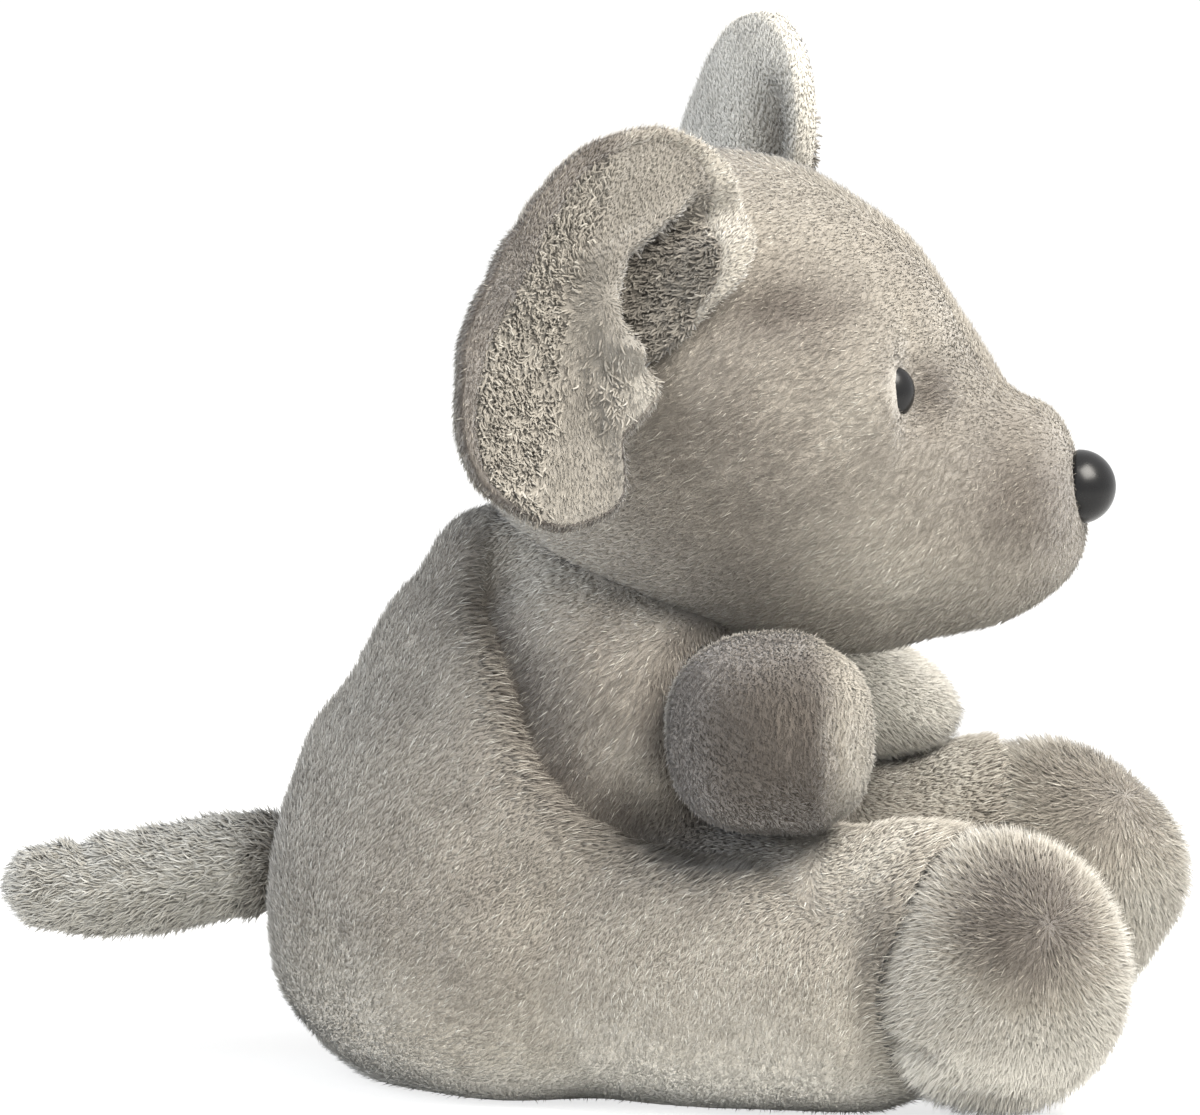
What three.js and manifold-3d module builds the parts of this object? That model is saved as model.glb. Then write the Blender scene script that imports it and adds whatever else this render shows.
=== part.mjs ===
// A seated plush mouse, about 12 cm tall. A stuffed body with two thighs carries a head, two arms,
// two feet and a tail, each sewn on at a soft round seam, and the head carries two cupped ears.
// Each soft piece is a cloth skin round its own filling, and gives way to the larger piece beside it.
// Millimetres, +Z up, +X the way the mouse looks, +Y its left. The origin is the middle of the flat seat.

import * as THREE from "three";
import { mergeVertices } from "three/addons/utils/BufferGeometryUtils.js";
import Module from "manifold-3d";

const wasm = await Module();
wasm.setup();

// Cloth and clearances
const skin = 2; // plush fabric with its backing, seam allowance and the foot of its pile
const gap = 0.3; // clearance between pieces that touch
const seatCut = 0.5; // how much the seat is pressed flat by what it stands on
const seamOpening = 8; // width of the hole in a limb's cloth that its seam closes

// Body: a pear, wide at the seat and round at the neck
const torsoHeight = 67.5;
const torsoDepth = 63.2;
const torsoWidth = 74.4;
const neckRadius = 24; // the round top that the head sits and turns on
const neckForward = 0.5;
const neckOpening = 15;
const neckThreadWidth = 0.9; // the thread that gathers the edge of the neck's opening
const pouchWidth = 44;
const pouchDepth = 36;
const pouchHeight = 12;

// Thighs, sewn to the body's sides
const hipRadius = 17.3;
const thighRadius = 16.5; // at the knee, where the foot starts
const thighLength = 32;
const thighSplay = 16; // degrees out from straight ahead
const hipForward = 2;
const hipSpread = 20;

// Feet: balls at the ends of the thighs, flatter at the sole
const footRadius = 16.3;
const footReach = 18.2; // from the end of the thigh's axis to the middle of the foot
const footLift = 0.9; // space under the foot
const solePlane = 10.6; // from the middle of the foot to the edge of its sole panel
const soleReach = 14.2; // from the middle of the foot to the crown of its sole panel
const soleSplay = 44; // degrees out from straight ahead
const soleRise = 30; // degrees up from level

// Arms: short stubs with a round end
const armRadius = 9;
const armSwell = 11.5;
const armLength = 15; // from the shoulder to the middle of the round end
const armTip = 10.6;
const armDrop = 23.3; // the arm's middle below the top of the body
const armStand = 3.4; // the shoulder's middle stands this far outside the body
const rightArmBearing = 45; // degrees from straight ahead to the shoulder
const rightArmSplay = 67; // degrees from straight ahead to where the arm points
const rightArmRise = 0; // degrees up from level
const leftArmBearing = 52; // degrees from straight ahead to the shoulder
const leftArmSplay = 36; // degrees from straight ahead to where the arm points
const leftArmRise = -1; // degrees up from level

// Tail
const tailRadius = 5.3;
const tailTipRadius = 4.9;
const tailLength = 25.5; // from the seam to the middle of the round tip
const tailDrop = 2.6;
const tailHeight = 23.5;
const tailStand = 1.2;

// Head: a pear on its side, from a round skull to a narrow muzzle
const headLength = 71;
const headHeight = 58;
const headWidth = 60;
const headRise = 36; // the middle of the skull above the neck's middle
const headBehind = 14; // the back of the skull behind the neck's middle

// Ears: cupped ovals of two layers
const earWidth = 28.5;
const earHeight = 49;
const earCup = 5.5;
const earLayer = 1.5;
const earRim = 2.6; // width of the plush edge that shows round the lining
const earStand = 2.6; // of the edge, outside the head at the seam
const earDrop = 7; // of the ear's middle below its seam
const earLift = 28; // degrees that the ear's back edge is turned up
// The right ear lies back and the left one stands out: each seam's place as a share of the head's length.
const rightEarShare = 0.42;
const rightEarAngle = 26; // degrees up from the widest line of the head
const rightEarLean = 17; // degrees that its seam leans in at the top
const rightEarSplay = 32; // degrees out from straight back
const leftEarShare = 0.515;
const leftEarAngle = 42.5; // degrees up from the widest line of the head
const leftEarLean = 0; // degrees that its seam leans in at the top
const leftEarSplay = 57; // degrees out from straight back
const earClosed = 3; // degrees that an ear can be pressed in
const earOpen = 16; // degrees that an ear can be pulled out

// Eyes and nose: moulded beads on a stem, held by a washer inside the cloth
const eyeWidth = 6.2;
const eyeHeight = 2.9;
const noseWidth = 9;
const noseHeight = 8.2;
const noseDepth = 3.7;
const beadEdge = 0.3; // bevel round a bead's flat back
const beadSunk = 0.9; // how far a bead's flat back lies under the cloth
const stemWidth = 2.6;
const stemLength = 5.6;
const washerWidth = 10;
const washerThickness = 1.2;
const eyeWasherDepth = 3.3; // from the cloth's face to the washer
const noseWasherDepth = 4.6;

const outerSides = 24; // flats round a shape that shows
const limbSides = 16; // flats round a limb or an ear
const innerSides = 12; // flats round a hollow or a filling

// Body profile from the seat up: share of the height, middle as a share of the depth, and half depth and
// half width as shares of their largest.
const torsoProfile = [
  [0, -0.047, 0.6, 0.67],
  [0.03, -0.071, 0.77, 0.82],
  [0.082, -0.079, 0.867, 0.914],
  [0.172, -0.089, 0.956, 0.981],
  [0.306, -0.089, 1, 1],
  [0.41, -0.082, 0.994, 0.962],
  [0.515, -0.066, 0.949, 0.887],
  [0.604, -0.051, 0.892, 0.806],
  [0.655, -0.035, 0.823, 0.742],
  [0.743, -0.022, 0.745, 0.672],
  [0.816, -0.014, 0.67, 0.58],
  [0.86, 0, 0.53, 0.43],
];

// Head profile from the back of the skull to the muzzle: share of the length, fall of the middle as a share
// of the height, and half height and half width as shares of their largest.
const headProfile = [
  [0.035, 0, 0.43, 0.42],
  [0.099, 0, 0.67, 0.67],
  [0.197, 0, 0.862, 0.86],
  [0.31, 0.007, 0.972, 0.973],
  [0.423, 0.021, 1, 1],
  [0.535, 0.04, 0.972, 0.95],
  [0.648, 0.074, 0.886, 0.843],
  [0.746, 0.116, 0.741, 0.693],
  [0.831, 0.186, 0.555, 0.523],
  [0.88, 0.221, 0.438, 0.427],
  [0.937, 0.209, 0.348, 0.347],
  [0.979, 0.202, 0.224, 0.227],
];
const muzzleFall = 0.193; // of the height, from the middle of the skull to the nose

const eyeShare = 0.724; // of the head's length
const eyeAngle = 24; // degrees up from the widest line of the head

const colours = {
  plush: 0xa09a90,
  arm: 0x6f6862,
  sole: 0x958e85,
  tail: 0xb0aea4,
  lining: 0xb2b0a4,
  bead: 0x161514,
  filling: 0xf1efe9,
  pouch: 0xd9d2c4,
  thread: 0x8d877e,
  washer: 0xe6e4de,
};

const neck = new THREE.Vector3(neckForward, 0, torsoHeight - neckRadius);

const vector = (x, y, z) => new THREE.Vector3(x, y, z);
const radians = THREE.MathUtils.degToRad;

// A direction from its bearing (degrees from +X towards the side given) and its rise (degrees).
function heading(bearing, rise, side) {
  const flat = Math.cos(radians(rise));
  return vector(
    flat * Math.cos(radians(bearing)),
    side * flat * Math.sin(radians(bearing)),
    Math.sin(radians(rise)),
  );
}

// A closed geometry as a solid, with its faces turned out.
function solidOf(geometry) {
  const bare = geometry.clone();
  bare.deleteAttribute("normal");
  bare.deleteAttribute("uv");
  const merged = mergeVertices(bare, 1e-4);
  const build = (triangles) =>
    new wasm.Manifold(
      new wasm.Mesh({
        numProp: 3,
        vertProperties: merged.attributes.position.array,
        triVerts: triangles,
      }),
    );
  const triangles = new Uint32Array(merged.index.array);
  const solid = build(triangles);
  return solid.volume() > 0 ? solid : build(triangles.reverse());
}

// The geometry of a solid, moved so that the pivot is at its origin.
function geometryOf(solid, pivot) {
  const mesh = solid.getMesh();
  const geometry = new THREE.BufferGeometry();
  geometry.setAttribute("position", new THREE.BufferAttribute(mesh.vertProperties, 3));
  geometry.setIndex(new THREE.BufferAttribute(mesh.triVerts, 1));
  geometry.translate(-pivot.x, -pivot.y, -pivot.z);
  const faceted = geometry.toNonIndexed();
  faceted.computeVertexNormals();
  return faceted;
}

// A closed skin through oval rings, each with its middle and two half axes, between two end points.
function loft(start, rings, end, sides) {
  const points = [start];
  for (const ring of rings) {
    for (let i = 0; i < sides; i++) {
      const turn = (2 * Math.PI * i) / sides;
      points.push(
        ring.middle
          .clone()
          .addScaledVector(ring.across, Math.cos(turn))
          .addScaledVector(ring.up, Math.sin(turn)),
      );
    }
  }
  points.push(end);
  const last = points.length - 1;
  const triangles = [];
  for (let i = 0; i < sides; i++) {
    const next = (i + 1) % sides;
    triangles.push(0, 1 + next, 1 + i);
    for (let r = 0; r < rings.length - 1; r++) {
      const low = 1 + r * sides;
      const high = low + sides;
      triangles.push(low + i, low + next, high + next, low + i, high + next, high + i);
    }
    const top = 1 + (rings.length - 1) * sides;
    triangles.push(top + i, top + next, last);
  }
  const geometry = new THREE.BufferGeometry().setFromPoints(points);
  geometry.setIndex(triangles);
  return geometry;
}

// The same geometry with its whole surface moved in by a distance.
function inset(geometry, distance) {
  geometry.computeVertexNormals();
  const place = geometry.attributes.position;
  const normal = geometry.attributes.normal;
  for (let i = 0; i < place.count; i++) {
    place.setXYZ(
      i,
      place.getX(i) - distance * normal.getX(i),
      place.getY(i) - distance * normal.getY(i),
      place.getZ(i) - distance * normal.getZ(i),
    );
  }
  return geometry;
}

// Two directions square to an axis, the second as near to straight up as it can be.
function squareTo(axis) {
  const across = vector(0, 0, 1).cross(axis).normalize();
  return { across, up: axis.clone().cross(across).normalize() };
}

// A round form along a straight axis: stations are [distance along, radius], between two end distances.
function roundForm(origin, axis, from, stations, to, sides) {
  const { across, up } = squareTo(axis);
  const at = (along) => origin.clone().addScaledVector(axis, along);
  const rings = stations.map(([along, radius]) => ({
    middle: at(along),
    across: across.clone().multiplyScalar(radius),
    up: up.clone().multiplyScalar(radius),
  }));
  return loft(at(from), rings, at(to), sides);
}

// Stations of a half ball: count rings between its pole and its rim, given the sign of the pole's side.
function halfBall(middle, radius, reach, count, sign) {
  const stations = [];
  for (let i = 1; i <= count; i++) {
    const turn = (Math.PI / 2) * (i / count);
    stations.push([middle + sign * reach * Math.cos(turn), radius * Math.sin(turn)]);
  }
  return sign < 0 ? stations : stations.reverse();
}

// A ball whose corners lie on its radius.
function ball(middle, radius, sides) {
  const geometry = new THREE.SphereGeometry(radius, sides, sides / 2);
  geometry.rotateX(Math.PI / 2);
  geometry.translate(middle.x, middle.y, middle.z);
  return solidOf(geometry);
}

// A ball whose flats lie on its radius, to cut a hollow that another ball turns in.
function ballHollow(middle, radius, sides) {
  return ball(middle, radius / Math.cos(Math.PI / sides) ** 2, sides);
}

// A round bar along an axis, between two distances from its origin.
function bar(origin, axis, from, to, radius, sides) {
  const geometry = new THREE.CylinderGeometry(radius, radius, to - from, sides);
  geometry.translate(0, (from + to) / 2, 0);
  geometry.applyQuaternion(new THREE.Quaternion().setFromUnitVectors(vector(0, 1, 0), axis));
  geometry.translate(origin.x, origin.y, origin.z);
  return solidOf(geometry);
}

// Everything on the far side of a plane, as a block that reaches well past the mouse.
function beyond(point, direction) {
  const reach = 3 * (torsoHeight + headHeight);
  const geometry = new THREE.BoxGeometry(reach, reach, reach);
  geometry.translate(0, 0, reach / 2);
  geometry.applyQuaternion(new THREE.Quaternion().setFromUnitVectors(vector(0, 0, 1), direction));
  geometry.translate(point.x, point.y, point.z);
  return solidOf(geometry);
}

// A solid turned by degrees about an axis through a pivot.
function turned(solid, pivot, axis, degrees) {
  const matrix = new THREE.Matrix4()
    .makeTranslation(pivot.x, pivot.y, pivot.z)
    .multiply(new THREE.Matrix4().makeRotationAxis(axis, radians(degrees)))
    .multiply(new THREE.Matrix4().makeTranslation(-pivot.x, -pivot.y, -pivot.z));
  return solid.transform(matrix.elements);
}

function largestBody(solid) {
  return solid.decompose().reduce((a, b) => (a.volume() > b.volume() ? a : b));
}

// Values between the rows of a profile, at a share of its length.
function profileAt(profile, share) {
  const next = Math.min(Math.max(profile.findIndex((row) => row[0] > share), 1), profile.length - 1);
  const [low, high] = [profile[next - 1], profile[next]];
  const mix = (share - low[0]) / (high[0] - low[0]);
  return low.map((value, i) => value + mix * (high[i] - value));
}

// Body

function torsoRing([share, shift, depth, width]) {
  return {
    middle: vector(shift * torsoDepth, 0, share * (torsoHeight + seatCut) - seatCut),
    across: vector((depth * torsoDepth) / 2, 0, 0),
    up: vector(0, (width * torsoWidth) / 2, 0),
  };
}

// The point of the body's surface at a height and a bearing, and the direction out of it.
function torsoSurface(height, bearing, side) {
  const share = (height + seatCut) / (torsoHeight + seatCut);
  const ring = torsoRing(profileAt(torsoProfile, share));
  const turn = Math.atan2(
    ring.across.x * Math.sin(radians(bearing)),
    ring.up.y * Math.cos(radians(bearing)),
  );
  const point = vector(
    ring.middle.x + ring.across.x * Math.cos(turn),
    side * ring.up.y * Math.sin(turn),
    height,
  );
  const out = vector(Math.cos(turn) / ring.across.x, (side * Math.sin(turn)) / ring.up.y, 0);
  return { point, out: out.normalize() };
}

const thighAxis = (side) => heading(thighSplay, 0, side);
const hip = (side) => vector(hipForward, side * hipSpread, hipRadius - seatCut);
const knee = (side) => {
  const end = hip(side).addScaledVector(thighAxis(side), thighLength);
  return end.setZ(thighRadius - seatCut);
};

// A thigh tapers to the knee, with its underside level all along.
function thighForm(side, depth, sides) {
  const axis = knee(side).sub(hip(side));
  const length = axis.length();
  const stations = [
    ...halfBall(0, hipRadius, hipRadius, 3, -1),
    ...halfBall(length, thighRadius, thighRadius, 4, 1),
  ];
  const ends = [-hipRadius, length + thighRadius];
  const form = roundForm(hip(side), axis.normalize(), ends[0], stations, ends[1], sides);
  return solidOf(inset(form, depth));
}

const footMiddle = (side) => {
  const middle = knee(side).addScaledVector(thighAxis(side), footReach);
  return middle.setZ(footRadius + footLift);
};
const shoulder = (side) => {
  const bearing = side < 0 ? rightArmBearing : leftArmBearing;
  const { point, out } = torsoSurface(torsoHeight - armDrop, bearing, side);
  return point.addScaledVector(out, armStand);
};
const tailRoot = () => {
  const { point, out } = torsoSurface(tailHeight, 180, 1);
  return point.addScaledVector(out, tailStand);
};

// The body's plain shape, moved in by a depth.
function torsoForm(depth, sides) {
  const rings = torsoProfile.map(torsoRing);
  const top = rings.at(-1).middle.clone().add(vector(0, 0, 1));
  const pear = solidOf(inset(loft(rings[0].middle.clone(), rings, top, sides), depth));
  return pear.add(ball(neck, neckRadius - depth, sides));
}

// The part of a shape that stands above the seat.
function seated(form, depth) {
  return form.intersect(beyond(vector(0, 0, depth), vector(0, 0, 1)));
}

// The body, with the hollows that the arms' and the tail's round seams turn in.
function torsoSolid(depth, sides) {
  let form = torsoForm(depth, sides);
  for (const side of [-1, 1]) {
    form = form.subtract(ballHollow(shoulder(side), armRadius + gap + depth, limbSides));
  }
  form = form.subtract(ballHollow(tailRoot(), tailRadius + gap + depth, limbSides));
  return seated(form, depth);
}

// A ring of thread inside the edge of the neck's opening, halfway through the cloth.
function neckThread() {
  const reach = neckOpening / 2 - gap - neckThreadWidth / 2;
  const rise = Math.sqrt((neckRadius - skin / 2) ** 2 - reach ** 2);
  const geometry = new THREE.TorusGeometry(reach, neckThreadWidth / 2, 5, limbSides);
  geometry.translate(neck.x, neck.y, neck.z + rise);
  return solidOf(geometry);
}

function neckHole() {
  return bar(neck, vector(0, 0, 1), 0, 2 * neckRadius, neckOpening / 2, innerSides);
}

// The pouch of pellets that weights the seat, flat underneath.
function beanPouch(grown) {
  const floor = skin + gap;
  const geometry = new THREE.SphereGeometry(1, innerSides, innerSides / 2);
  geometry.rotateX(Math.PI / 2);
  geometry.scale(pouchDepth / 2 + grown, pouchWidth / 2 + grown, pouchHeight + grown);
  geometry.translate(torsoRing(torsoProfile[0]).middle.x, 0, floor);
  return solidOf(geometry).intersect(beyond(vector(0, 0, floor), vector(0, 0, 1)));
}

function makeTorso() {
  return {
    torso_skin: torsoSolid(0, outerSides).subtract(torsoSolid(skin, innerSides)).subtract(neckHole()),
    torso_filling: torsoSolid(skin + gap, innerSides).subtract(beanPouch(gap)),
    bean_pouch: beanPouch(0),
  };
}

// Thighs, open where they meet the body, with the hollows that the feet turn in

function makeThigh(name, side) {
  const body = torsoForm(-gap, outerSides);
  const hollowed = (depth, sides) => {
    const room = ballHollow(footMiddle(side), footRadius + gap + depth, limbSides);
    return seated(thighForm(side, depth, sides).subtract(room), depth);
  };
  return {
    [name + "_skin"]: hollowed(0, limbSides).subtract(hollowed(skin, innerSides)).subtract(body),
    [name + "_filling"]: hollowed(skin + gap, innerSides).subtract(body),
  };
}

// Limbs

function limbPieces(name, form, root, axis, reach) {
  const opening = bar(root, axis, -2 * reach, 0, seamOpening / 2, 12);
  return {
    [name + "_skin"]: solidOf(form(0, limbSides)).subtract(solidOf(form(skin, innerSides)).add(opening)),
    [name + "_filling"]: solidOf(form(skin + gap, innerSides)),
  };
}

// The right arm stands out to its side and the left one reaches ahead.
const armAxis = (side) =>
  side < 0 ? heading(rightArmSplay, rightArmRise, side) : heading(leftArmSplay, leftArmRise, side);

function makeArm(name, side) {
  const stations = [
    ...halfBall(0, armRadius, armRadius, 3, -1),
    [armLength * 0.4, armRadius + 0.65 * (armSwell - armRadius)],
    [armLength * 0.7, armSwell],
    ...halfBall(armLength, armSwell, armTip, 4, 1).slice(1),
  ];
  const form = (depth, sides) =>
    inset(
      roundForm(shoulder(side), armAxis(side), -armRadius, stations, armLength + armTip, sides),
      depth,
    );
  return limbPieces(name, form, shoulder(side), armAxis(side), armRadius);
}

const soleAxis = (side) => heading(soleSplay, soleRise, side);

function makeFoot(name, side) {
  const middle = footMiddle(side);
  const axis = soleAxis(side);
  const stations = [
    ...halfBall(0, footRadius, footRadius, 4, -1),
    ...halfBall(0, footRadius, soleReach, 4, 1).slice(1),
  ];
  const form = (depth, sides) =>
    inset(roundForm(middle, axis, -footRadius, stations, soleReach, sides), depth);
  const pieces = limbPieces(name, form, middle, thighAxis(side), footRadius);
  const edge = (distance) => beyond(middle.clone().addScaledVector(axis, distance), axis);
  const cloth = pieces[name + "_skin"];
  pieces[name + "_skin"] = cloth.subtract(edge(solePlane));
  pieces[name + "_sole"] = cloth.intersect(edge(solePlane + gap));
  return pieces;
}

const tailPath = () => {
  const root = tailRoot();
  const tip = root.clone().add(vector(-tailLength, 0, -tailDrop));
  const bend = root.clone().lerp(tip, 0.5).add(vector(0, 0, tailDrop / 3));
  return new THREE.CatmullRomCurve3([root, bend, tip]);
};

function tailForm(depth, sides) {
  const path = tailPath();
  const steps = 4;
  const rings = [];
  const ringAt = (share, radius, shift) => {
    const axis = path.getTangent(share);
    const { across, up } = squareTo(axis);
    rings.push({
      middle: path.getPoint(share).addScaledVector(axis, shift),
      across: across.multiplyScalar(radius),
      up: up.multiplyScalar(radius),
    });
  };
  for (const [along, radius] of halfBall(0, tailRadius, tailRadius, 3, -1)) ringAt(0, radius, along);
  for (let i = 1; i < steps; i++) {
    ringAt(i / steps, THREE.MathUtils.lerp(tailRadius, tailTipRadius, i / steps), 0);
  }
  for (const [along, radius] of halfBall(0, tailTipRadius, tailTipRadius, 3, 1)) ringAt(1, radius, along);
  const start = path.getPoint(0).addScaledVector(path.getTangent(0), -tailRadius);
  const end = path.getPoint(1).addScaledVector(path.getTangent(1), tailTipRadius);
  return inset(loft(start, rings, end, sides), depth);
}

function makeTail() {
  return limbPieces("tail", tailForm, tailRoot(), tailPath().getTangent(0), tailRadius);
}

// Head

const headMiddle = neck.z + headRise;

function headRing([share, fall, height, width]) {
  return {
    middle: vector(neck.x - headBehind + share * headLength, 0, headMiddle - fall * headHeight),
    across: vector(0, (width * headWidth) / 2, 0),
    up: vector(0, 0, (height * headHeight) / 2),
  };
}

const muzzleTip = () =>
  vector(neck.x - headBehind + headLength, 0, headMiddle - muzzleFall * headHeight);

function headForm(depth, sides) {
  const back = vector(neck.x - headBehind, 0, headMiddle);
  return solidOf(inset(loft(back, headProfile.map(headRing), muzzleTip(), sides), depth));
}

// The point of the head's surface at a share of its length and an angle up from its side.
function headPoint(share, angle, side) {
  const ring = headRing(profileAt(headProfile, share));
  return ring.middle
    .addScaledVector(ring.across, side * Math.cos(radians(angle)))
    .addScaledVector(ring.up, Math.sin(radians(angle)));
}

function headOut(share, angle, side) {
  const here = headPoint(share, angle, side);
  const ahead = headPoint(share + 0.01, angle, side).sub(here);
  const above = headPoint(share, angle + 2, side).sub(here);
  return ahead.cross(above).multiplyScalar(-side).normalize();
}

// A bead with a flat back on a stem, along an axis from the middle of its back, all grown by a distance.
function bead(back, axis, width, height, depth, grown) {
  const profile = [
    vector(0, -grown, 0),
    vector(width / 2 - beadEdge + grown, -grown, 0),
    vector(width / 2 + grown, depth * 0.2, 0),
  ];
  for (let i = 1; i <= 3; i++) {
    const turn = (Math.PI / 2) * (i / 3);
    profile.push(
      vector((width / 2 + grown) * Math.cos(turn), depth * 0.2 + (depth * 0.8 + grown) * Math.sin(turn), 0),
    );
  }
  profile.at(-1).setX(0);
  const geometry = new THREE.LatheGeometry(profile, innerSides);
  geometry.scale(1, 1, height / width);
  const { across, up } = squareTo(axis);
  geometry.applyMatrix4(new THREE.Matrix4().makeBasis(across, axis, up.negate()));
  geometry.translate(back.x, back.y, back.z);
  const stem = bar(back, axis, -stemLength - grown, grown / 2 + depth / 4, stemWidth / 2 + grown, 12);
  return solidOf(geometry).add(stem);
}

// The washer on a bead's stem, at a distance from the middle of the bead's back, which is negative inside.
function washer(back, axis, face) {
  const disc = bar(back, axis, face - washerThickness, face, washerWidth / 2, innerSides);
  return disc.subtract(bar(back, axis, -washerWidth, 1, stemWidth / 2 + gap, 12));
}

// The room in the filling that a washer takes, open to the cloth.
function washerRoom(back, axis, face) {
  return bar(back, axis, face - washerThickness - gap, 1, washerWidth / 2 + gap, innerSides);
}

// Each bead's place: the middle of its flat back, its axis and its size.
function beadPlaces() {
  const places = {};
  for (const [name, side] of [["right_eye", -1], ["left_eye", 1]]) {
    const axis = headOut(eyeShare, eyeAngle, side);
    const back = headPoint(eyeShare, eyeAngle, side).addScaledVector(axis, -beadSunk);
    places[name] = { back, axis, size: [eyeWidth, eyeWidth, eyeHeight], face: beadSunk - eyeWasherDepth };
  }
  places.nose = {
    back: muzzleTip().addScaledVector(vector(1, 0, 0), -beadSunk),
    axis: vector(1, 0, 0),
    size: [noseWidth, noseHeight, noseDepth],
    face: beadSunk - noseWasherDepth,
  };
  return places;
}

function makeHead() {
  const socket = (depth, sides) => ballHollow(neck, neckRadius + gap + depth, sides);
  let cloth = headForm(0, outerSides)
    .subtract(socket(0, outerSides))
    .subtract(headForm(skin, innerSides).subtract(socket(skin, innerSides)))
    .subtract(neckHole());
  let filling = headForm(skin + gap, innerSides).subtract(socket(skin + gap, innerSides));
  const pieces = {};
  for (const [name, { back, axis, size, face }] of Object.entries(beadPlaces())) {
    const room = bead(back, axis, ...size, gap);
    cloth = cloth.subtract(room);
    filling = filling.subtract(room).subtract(washerRoom(back, axis, face));
    pieces[name] = bead(back, axis, ...size, 0);
    pieces[name + "_washer"] = washer(back, axis, face);
  }
  return { head_skin: cloth, head_filling: filling, ...pieces };
}

// Ears

// The ear's own directions: back from its seam, up along its seam, and out of its cup.
function earFrame({ side, splay, lean }) {
  const flatBack = heading(180 - splay, 0, side);
  const flatOut = heading(90 - splay, 0, side);
  const leanTurn = radians(lean);
  const liftTurn = radians(earLift);
  const seam = vector(0, 0, Math.cos(leanTurn)).addScaledVector(flatOut, -Math.sin(leanTurn));
  const out = flatOut.multiplyScalar(Math.cos(leanTurn)).add(vector(0, 0, Math.sin(leanTurn)));
  const back = flatBack.clone().multiplyScalar(Math.cos(liftTurn)).addScaledVector(seam, Math.sin(liftTurn));
  const up = seam.clone().multiplyScalar(Math.cos(liftTurn)).addScaledVector(flatBack, -Math.sin(liftTurn));
  return { back, up, out, seam };
}

const earSeam = ({ share, angle, side }) => headPoint(share, angle, side);

// One layer of a cupped ear, between two depths behind the face of its lining.
function earSheet(ear, trim, near, far) {
  const { back, up, out } = earFrame(ear);
  const middle = earSeam(ear)
    .addScaledVector(back, earWidth / 2)
    .addScaledVector(up, -earDrop)
    .addScaledVector(out, earStand);
  const half = { across: earWidth / 2 - trim, up: earHeight / 2 - trim };
  const cup = (share) => earCup * (1 - share * share);
  const ring = (share, depth, shrink) => ({
    middle: middle.clone().addScaledVector(out, -cup(share) - depth),
    across: back.clone().multiplyScalar(half.across * share - shrink),
    up: up.clone().multiplyScalar(half.up * share - shrink),
  });
  const shares = [0.4, 0.72, 0.92];
  const rings = [
    ...shares.map((share) => ring(share, near, 0)),
    ring(1, near + (far - near) * 0.25, 0),
    ring(1, near + (far - near) * 0.75, 0),
    ...shares.map((share) => ring(share, far, 0)).reverse(),
  ];
  const pole = (depth) => middle.clone().addScaledVector(out, -cup(0) - depth);
  return solidOf(loft(pole(near), rings, pole(far), limbSides));
}

// An ear's two layers, cut clear of the head wherever the ear can be pressed or pulled.
function makeEar(name, ear) {
  const { seam } = earFrame(ear);
  const room = headForm(-gap, outerSides);
  const pieces = {
    [name + "_lining"]: earSheet(ear, earRim, 0, earLayer),
    [name + "_back"]: earSheet(ear, 0, earLayer + gap, 2 * earLayer + gap),
  };
  for (const [piece, sheet] of Object.entries(pieces)) {
    let cut = sheet;
    for (const degrees of [-earClosed, 0, earOpen / 2, earOpen]) {
      cut = cut.subtract(turned(room, earSeam(ear), seam, ear.side * degrees));
    }
    pieces[piece] = largestBody(cut);
  }
  return pieces;
}

// Scene graph: one group for each soft part, with its origin where it turns or is sewn on

const looks = [
  [/filling/, colours.filling, 0.95],
  [/pouch/, colours.pouch, 0.85],
  [/washer/, colours.washer, 0.5],
  [/thread/, colours.thread, 0.8],
  [/_eye$|^nose$/, colours.bead, 0.15],
  [/lining/, colours.lining, 0.95],
  [/sole/, colours.sole, 0.95],
  [/tail/, colours.tail, 0.95],
  [/arm/, colours.arm, 0.95],
  [/./, colours.plush, 0.95],
];

function bodyGroup(name, pivot, parent, pieces) {
  const group = new THREE.Group();
  group.name = name;
  group.userData.pivot = pivot.toArray();
  group.position.copy(pivot);
  if (parent) group.position.sub(vector(...parent.userData.pivot));
  for (const [node, solid] of Object.entries(pieces)) {
    const [, colour, roughness] = looks.find(([pattern]) => pattern.test(node));
    const material = new THREE.MeshStandardMaterial({ color: colour, roughness, metalness: 0 });
    const mesh = new THREE.Mesh(geometryOf(solid, pivot), material);
    mesh.name = node;
    group.add(mesh);
  }
  parent?.add(group);
  return group;
}

const mouse = bodyGroup("torso", vector(0, 0, 0), null, makeTorso());
const collar = bodyGroup("neck", neck, mouse, { neck_thread: neckThread() });
const head = bodyGroup("head", neck, collar, makeHead());
const ears = [
  {
    label: "right",
    side: -1,
    share: rightEarShare,
    angle: rightEarAngle,
    lean: rightEarLean,
    splay: rightEarSplay,
  },
  { label: "left", side: 1, share: leftEarShare, angle: leftEarAngle, lean: leftEarLean, splay: leftEarSplay },
];
for (const ear of ears) {
  const { label, side } = ear;
  bodyGroup(label + "_ear", earSeam(ear), head, makeEar(label + "_ear", ear));
  bodyGroup(label + "_thigh", hip(side), mouse, makeThigh(label + "_thigh", side));
  bodyGroup(label + "_arm", shoulder(side), mouse, makeArm(label + "_arm", side));
  bodyGroup(label + "_foot", footMiddle(side), mouse, makeFoot(label + "_foot", side));
}
bodyGroup("tail", tailRoot(), mouse, makeTail());

export default mouse;
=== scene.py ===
"""Looks of a small seated plush mouse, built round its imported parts.

Each stuffed piece is a closed form of cloth with a pile of strands on it. Sizes are in millimetres until a
mesh is made, with +X the way the mouse looks, +Y its left and +Z up.
"""

import logging
import math
from dataclasses import dataclass
from enum import Enum
from typing import Callable, Iterable, Optional, Sequence

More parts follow.
